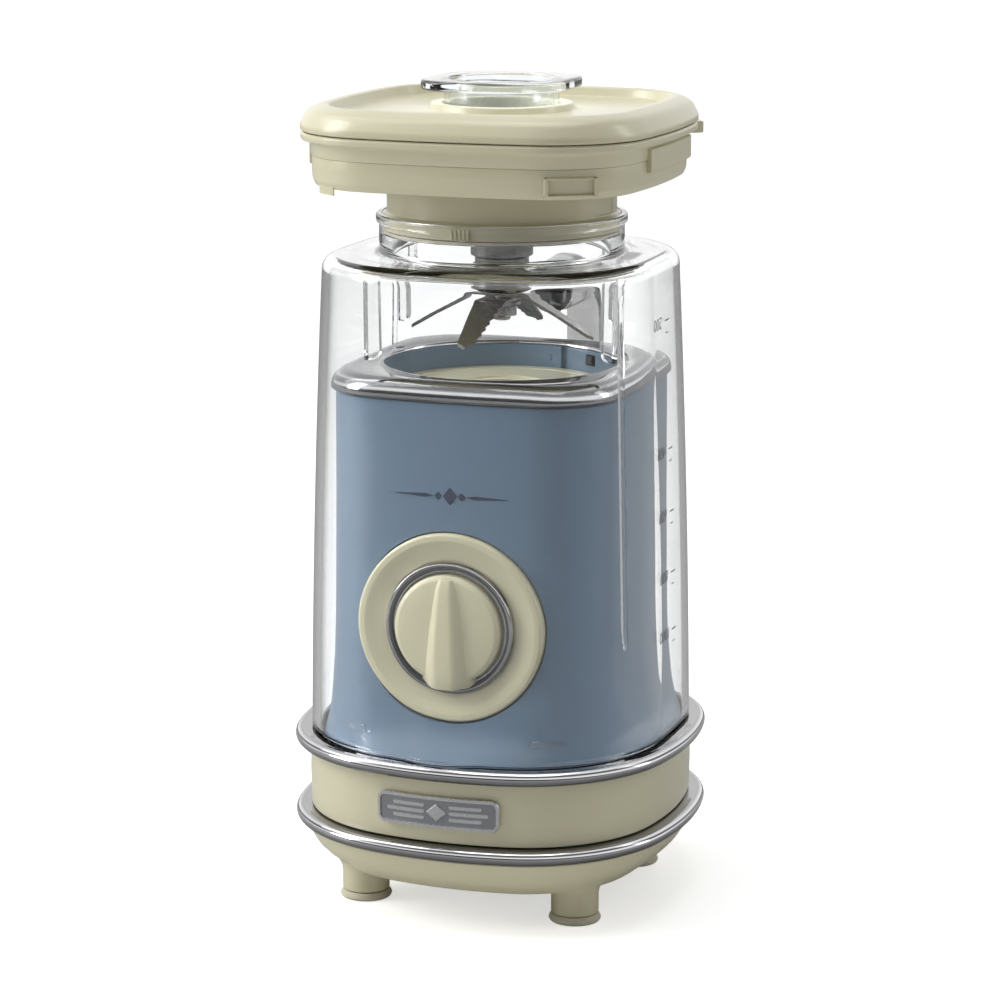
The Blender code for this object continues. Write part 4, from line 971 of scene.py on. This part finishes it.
def build_hub():
    """Stepped steel housing of the blade spindle."""
    bore, low, under, inner_top = 0.0066, HUB_BOTTOM, FLANGE_BOTTOM - 0.0003, 0.2285
    profile = [(bore, low), (0.0078, low, 0.0003), (0.0098, low + 0.0030, 0.0008),
               (0.0098, low + 0.0075, 0.0003), (0.0090, low + 0.0080, 0.0002),
               (0.0090, low + 0.0105, 0.0002), (0.0104, low + 0.0112, 0.0003),
               (0.0104, under - 0.0055, 0.0003), (0.0150, under - 0.0024, 0.0008),
               (0.0150, under, 0.0003), (0.0100, under), (0.0100, inner_top, 0.0003),
               (bore, inner_top, 0.0003)]
    piece("hub", turned(profile, 96), HUB_STEEL, "blade_base", ["bearing_hub"])


def build_spindle():
    """Stepped spindle and the hexagonal nut that holds the blades on it."""
    low, radius = bottom("blade_spindle"), 0.0040
    profile = [(0, low), (0.0026, low, 0.0005), (0.0029, low + 0.0008), (0.0029, HUB_BOTTOM - 0.0009),
               (radius, HUB_BOTTOM - 0.0005, 0.0002), (radius, 0.2290, 0.0003), (0.0030, 0.2296),
               (0.0030, 0.2360, 0.0004), (0, 0.2360)]
    piece("spindle", turned(profile, 48), STEEL, "blades", ["blade_spindle"])
    low, high = bottom("blade_nut"), top("blade_nut")
    flats = [polar(0.0052, math.radians(60 * k)) for k in range(6)]
    nut = cut(prism(flats, low, high, 0.0004), rod(0.0032, low - 0.001, high + 0.001, 32))
    piece("nut", nut, STEEL, "blades", ["blade_nut"])


def blade_strip(upper, reach, drop, root, tip, teeth):
    """Two bent arms in one strip. One long edge of each arm is ground and toothed."""
    thickness, ground, tooth_depth = 0.0011, 0.00035, 0.0011
    flat_part, bend_end, teeth_start = 0.0095, 0.12, 0.15
    tip_start, tip_length, tip_blunt = 0.93, 0.07, 0.12
    rows = []
    count = 12 * teeth
    for index in range(count + 1):
        x = ((index / count) * 2 - 1) * reach
        away = max(0.0, (abs(x) - flat_part) / (reach - flat_part))
        z = upper - drop * (away if away > bend_end else away * away / bend_end)
        width = root + (tip - root) * away ** 1.2
        if away > tip_start:
            width *= (1.0 - away) / tip_length + tip_blunt
        tooth = 0.0
        if teeth_start < away < tip_start:
            tooth = tooth_depth * (1 - abs(2 * ((away * teeth) % 1.0) - 1))
        edge = ground if away > bend_end else thickness
        if x < 0:
            back, front, low_back, low_front = -width + tooth, width, edge, thickness
        else:
            back, front, low_back, low_front = -width, width - tooth, thickness, edge
        rows.append([Vector((x, back, z - low_back)), Vector((x, front, z - low_front)),
                     Vector((x, front, z)), Vector((x, back, z))])
    return skin(rows)


def build_blades():
    """A long narrow strip and a wide one across it, so that four arms stand round the nut."""
    yaw = -2.4
    for name, turn, reach, drop, root, tip, teeth in (
            ("blade_long", yaw, 0.0325, 0.0130, 0.0036, 0.0018, 9),
            ("blade_wide", yaw + 90, 0.0315, 0.0120, 0.0052, 0.0030, 8)):
        z = top(name)
        strip = cut(blade_strip(z, reach, drop, root, tip, teeth),
                    rod(0.0032, z - 0.005, z + 0.003, 32))
        piece(name + "_ground", moved(strip, turn_z(turn)), BLADE, "blades", [name], sharp=25)


# ---- lid and cap ----------------------------------------------------------------------
LID_HOLE = 0.0197


def build_lid():
    """Two-part lid: a soft domed cover over a rim flange, and a deep skirt below them."""
    half, hole, low, high = LID_HALF, LID_HOLE, LID_SEAM, LID_TOP
    rows = on(lid_plan, rounded([
        (half - 0.0009, low), (half - 0.0001, low + 0.0004, 0.0004), (half, low + 0.0020, 0.0030),
        (half - 0.0022, high - 0.0020, 0.0045), (half - 0.0072, high, 0.0035),
        (half - 0.0094, high - 0.0004, 0.0008), (half - 0.0106, high - 0.0034, 0.0008),
        (half - 0.0130, high - 0.0034)]))
    rows += on(circle, rounded([
        (0.0262, high - 0.0034), (0.0240, high - 0.0033, 0.0006), (0.0232, high - 0.0012, 0.0005),
        (hole + 0.0002, high - 0.0011, 0.0004), (hole, high - 0.0020), (hole, low),
        (0.0225, low), (0.0240, low + 0.0024)]))
    rows += on(lid_plan, [(0.0480, low + 0.0026), (0.0548, low + 0.0040), (0.0575, low + 0.0016),
                          (0.0580, low)])
    piece("cover", plan_loft(rows), IVORY, "lid", ["lid_cover"], sharp=42)

    seam, skirt_low, stop = top("lid_body"), top("lid_seal") + 0.0001, COLLAR_TOP + 0.0003
    flange_low = seam - 0.0027
    plate_low, plate_high, sleeve_low = seam - 0.0054, seam - 0.0032, seam - 0.0094
    rows = on(lid_plan, rounded([
        (0.0560, seam), (half - 0.0008, seam), (half - 0.0002, seam - 0.0006, 0.0005),
        (half - 0.0002, flange_low + 0.0003, 0.0008), (half - 0.0016, flange_low - 0.0001, 0.0005),
        (0.0572, flange_low - 0.0003, 0.0008), (0.0566, flange_low - 0.0012),
        (0.0564, skirt_low + 0.0004), (0.0561, skirt_low), (0.0534, skirt_low),
        (0.0530, plate_low)]))
    rows += on(circle, [(0.0378, plate_low), (0.0374, stop), (0.0348, stop), (0.0344, plate_low),
                        (0.0222, plate_low), (0.0218, sleeve_low), (hole, sleeve_low),
                        (hole, plate_high)])
    rows += on(lid_plan, [(0.0535, plate_high), (0.0552, seam - 0.0006)])
    piece("skirt_upper", plan_loft(rows), IVORY, "lid", ["lid_body"], sharp=42)

    low, high = SKIRT_BOTTOM, top("lid_seal")
    lower = [(0.0534, high), (0.0561, high, 0.0001), (0.0562, high - 0.0030, 0.004),
             (0.0560, low + 0.0022, 0.0016), (0.0550, low, 0.0007), (0.0528, low)]
    piece("skirt_lower", plan_ring(lid_plan, lower), IVORY, "lid", ["lid_seal"], sharp=42)


def bearing_point(angle, half, z):
    """Point of the lid's outline at a bearing from the axis."""
    outline = lid_plan(half)
    direction = polar(1.0, angle)
    for first, second in zip(outline, outline[1:] + outline[:1]):
        edge = second - first
        across = direction.x * edge.y - direction.y * edge.x
        if abs(across) < 1e-12:
            continue
        reach = (first.x * edge.y - first.y * edge.x) / across
        share = (first.x * direction.y - first.y * direction.x) / across
        if reach > 0 and -1e-9 <= share <= 1 + 1e-9:
            return Vector((*(direction * reach), z))
    raise ValueError("the outline has no point at this bearing")


def on_lid(width, low, high, depth, bearing, name):
    """Raised block on the lid's skirt, following its outline between two bearings."""
    face, root, edge, steps = 0.0566 + depth, 0.0556, 0.0003, 14
    section = [(root, low), (face - 0.0004, low), (face, low + edge),
               (face, high - edge), (face - 0.0004, high), (root, high)]
    sweep = []
    for step in range(steps + 1):
        angle = math.radians(bearing + width * (step / steps - 0.5))
        sweep.append([bearing_point(angle, out, z) for out, z in section])
    piece(name, skin(sweep), IVORY, "lid", sharp=40)


def build_lid_details():
    """Frame and two pads on the skirt, a thumb tab and a small hook."""
    low, high = SKIRT_BOTTOM + 0.0010, SKIRT_BOTTOM + 0.0070
    width, bearing, bar = 15, -51, 0.0006
    on_lid(width, high - bar, high, bar, bearing, "lid_frame_top")
    on_lid(width, low, low + bar, bar, bearing, "lid_frame_low")
    on_lid(1.0, low, high, bar, bearing - (width - 1) / 2, "lid_frame_left")
    on_lid(1.0, low, high, bar, bearing + (width - 1) / 2, "lid_frame_right")
    for side, turn in (("right", 5), ("left", 185)):
        on_lid(46, LID_SEAM - 0.0118, LID_SEAM - 0.0042, 0.0012, turn, "lid_pad_" + side)
    on_lid(9, LID_SEAM - 0.0042, LID_SEAM - 0.0004, 0.0050, 36, "lid_tab")
    on_lid(8, SKIRT_BOTTOM - 0.0018, SKIRT_BOTTOM + 0.0010, -0.0014, 228, "lid_hook")


def build_cap():
    """Clear measuring cup with a broad rounded-square rim, open upwards."""
    hole, stem, low, floor = 0.0174, 0.0190, CAP_BOTTOM, CAP_BOTTOM + 0.0018
    flange_low, half, high = CAP_TOP - 0.0032, CAP_HALF, CAP_TOP
    rows = on(circle, rounded([(0.0001, low), (stem - 0.0006, low, 0.0012),
                               (stem, flange_low, 0.0008), (stem + 0.0016, flange_low)]))
    rows += on(cap_plan, rounded([(0.0215, flange_low), (half, flange_low, 0.0007),
                                  (half, high, 0.0009), (0.0212, high)]))
    rows += on(circle, rounded([(0.0195, high), (hole, high, 0.0008), (hole - 0.0006, floor, 0.0020),
                                (0.0001, floor)]))
    piece("cap", plan_loft(rows, closed=False), CLEAR_CAP, "cap", ["measuring_cap"], sharp=42)


# ---- ornament -------------------------------------------------------------------------
def build_ornament():
    """Plain decoration printed on the housing above the knob: tapered lines and lozenges."""
    outlines = []
    for sign in (-1, 1):
        outlines.append([(0.0055 * sign, 0), (0.0085 * sign, 0.00065), (0.0200 * sign, 0),
                         (0.0085 * sign, -0.00065)])
        outlines.append(lozenge(0.0013, 0.0014, 0.0040 * sign))
    outlines.append(lozenge(0.0024, 0.0030))
    marks = joined(*[prism(outline, 0.0, 0.00012) for outline in outlines])
    piece("ornament", bent(marks, HOUSING_BOW, 0.0489), ORNAMENT, "base", place=shift((0, 0, 0.1385)))


# ---- camera, lamps and floor ----------------------------------------------------------
TARGET = AXIS + Vector((-0.0006, -0.0002, 0.1272))
VIEW_AZIMUTH = math.radians(19.6)
VIEW_ELEVATION = math.radians(12.25)
VIEW_DISTANCE = 1.1206
FOCAL_LENGTH = 120.06
LAMP_AIM = Vector((0, 0, 0.15))
SOFT_LIGHT, ROOM_LIGHT = 0.30, 1.15       # surroundings as a lamp, and as seen in reflections


def direction(azimuth, elevation):
    return Vector((math.sin(azimuth) * math.cos(elevation), -math.cos(azimuth) * math.cos(elevation),
                   math.sin(elevation)))


def stand(name, data, back, place):
    """Puts a camera or lamp at a place, looking against the back direction."""
    made = add_object(name, data)
    made.location = place
    made.rotation_euler = (-back).to_track_quat("-Z", "Y").to_euler()
    return made


def add_camera():
    data = bpy.data.cameras.new("camera")
    data.lens = FOCAL_LENGTH
    data.sensor_width = 36.0
    back = direction(VIEW_AZIMUTH, VIEW_ELEVATION)
    bpy.context.scene.camera = stand("camera", data, back, TARGET + back * VIEW_DISTANCE)


def add_softbox(name, azimuth, elevation, distance, width, height, power):
    data = bpy.data.lights.new(name, "AREA")
    data.shape = "RECTANGLE"
    data.size = width
    data.size_y = height
    data.energy = power
    back = direction(math.radians(azimuth), math.radians(elevation))
    stand(name, data, back, LAMP_AIM + back * distance)


def seen_directly(tree):
    """1 for what the eye meets straight or through clear plastic, and 0 for light that has
    bounced off anything else."""
    straight = arithmetic(tree, "MAXIMUM", ray(tree, "Is Camera Ray"), ray(tree, "Is Transmission Ray"))
    bounces = arithmetic(tree, "ADD", ray(tree, "Diffuse Depth"), ray(tree, "Glossy Depth"))
    return arithmetic(tree, "MULTIPLY", straight, arithmetic(tree, "LESS_THAN", bounces, 0.5))


def add_world():
    """Pale surroundings for the eye, soft light from above for matt surfaces, and for
    reflections a bright room with a dark band along the horizon on the knob side."""
    world = bpy.data.worlds.new("studio")
    world.use_nodes = True
    tree = world.node_tree
    place = node(tree, "TexCoord").outputs["Generated"]
    split = node(tree, "SeparateXYZ", {"Vector": place}).outputs
    leaning = arithmetic(tree, "ADD", arithmetic(tree, "MULTIPLY", split["Y"], 0.20), split["Z"])

    def glow(strength, colour):
        made = node(tree, "Background", {"Color": colour, "Strength": strength})
        return made.outputs["Background"]

    soft = glow(SOFT_LIGHT, grey_ramp(tree, split["Z"], ((0.0, 0.10), (0.9, 1.0))))
    room = glow(ROOM_LIGHT, grey_ramp(tree, leaning, ((0.0, 0.02), (0.14, 1.0))))
    sharp_ray = arithmetic(tree, "MAXIMUM", ray(tree, "Is Glossy Ray"), seen_directly(tree))
    lit = mix_shaders(tree, sharp_ray, soft, room)
    shown = mix_shaders(tree, ray(tree, "Is Camera Ray"), lit, glow(1.0, (1, 1, 1, 1)))
    tree.links.new(shown, tree.nodes["World Output"].inputs["Surface"])
    bpy.context.scene.world = world


FLOOR_REACH = 14.0
FLOOR_GLOW = 0.55           # brightens the floor for the eye but not as a lamp
FLOOR_MIRRORED = (0.40, 0.40, 0.40, 1.0)     # its colour in reflections


def add_floor():
    mesh = bpy.data.meshes.new("floor")
    corners = ((-1, -1), (1, -1), (1, 1), (-1, 1))
    mesh.from_pydata([(FLOOR_REACH * x, FLOOR_REACH * y, 0) for x, y in corners], [], [(0, 1, 2, 3)])
    pale = moulded("floor_pale", (0.90, 0.90, 0.895), 0.6, tint=0.01,
                   Emission_Color=(1.0, 1.0, 1.0, 1.0))
    tree = pale.node_tree
    feed(pale, "Emission Strength", map_range(tree, seen_directly(tree), To_Min=0.0, To_Max=FLOOR_GLOW))
    plain = tree.nodes["Principled BSDF"].inputs["Base Color"].links[0].from_socket
    mirrored = arithmetic(tree, "SUBTRACT", ray(tree, "Is Glossy Ray"), seen_directly(tree), clamp=True)
    feed(pale, "Base Color", mix_colours(tree, mirrored, plain, FLOOR_MIRRORED))
    mesh.materials.append(pale)
    floor = add_object("floor", mesh)


def add_lamps():
    """Soft light from both sides and from above, so that the front lies in gentle shade."""
    sun = bpy.data.lights.new("soft_sun", "SUN")
    sun.energy = 0.95
    sun.angle = math.radians(50)
    stand("soft_sun", sun, direction(math.radians(-78), math.radians(43)), (0, 0, 0))
    add_softbox("key", -66, 24, 1.3, 0.5, 0.9, 8)
    add_softbox("rim", 112, 24, 1.3, 0.3, 0.9, 2.6)
    add_softbox("overhead", 10, 85, 1.2, 0.8, 0.8, 4.5)


def main():
    bpy.context.scene.view_settings.view_transform = "Standard"
    add_camera()
    add_world()
    add_lamps()
    add_floor()
    for build in (build_pan, build_feet, build_rings, build_band, build_badge, build_housing,
                  build_trim, build_well, build_bezel, build_knob, build_jar, build_jar_ribs,
                  build_jar_flutes, build_jar_lugs, build_scale, build_handle, build_collar,
                  build_hub, build_spindle, build_blades, build_lid, build_lid_details, build_cap,
                  build_ornament):
        build()
    finish_cad_nodes()


main()
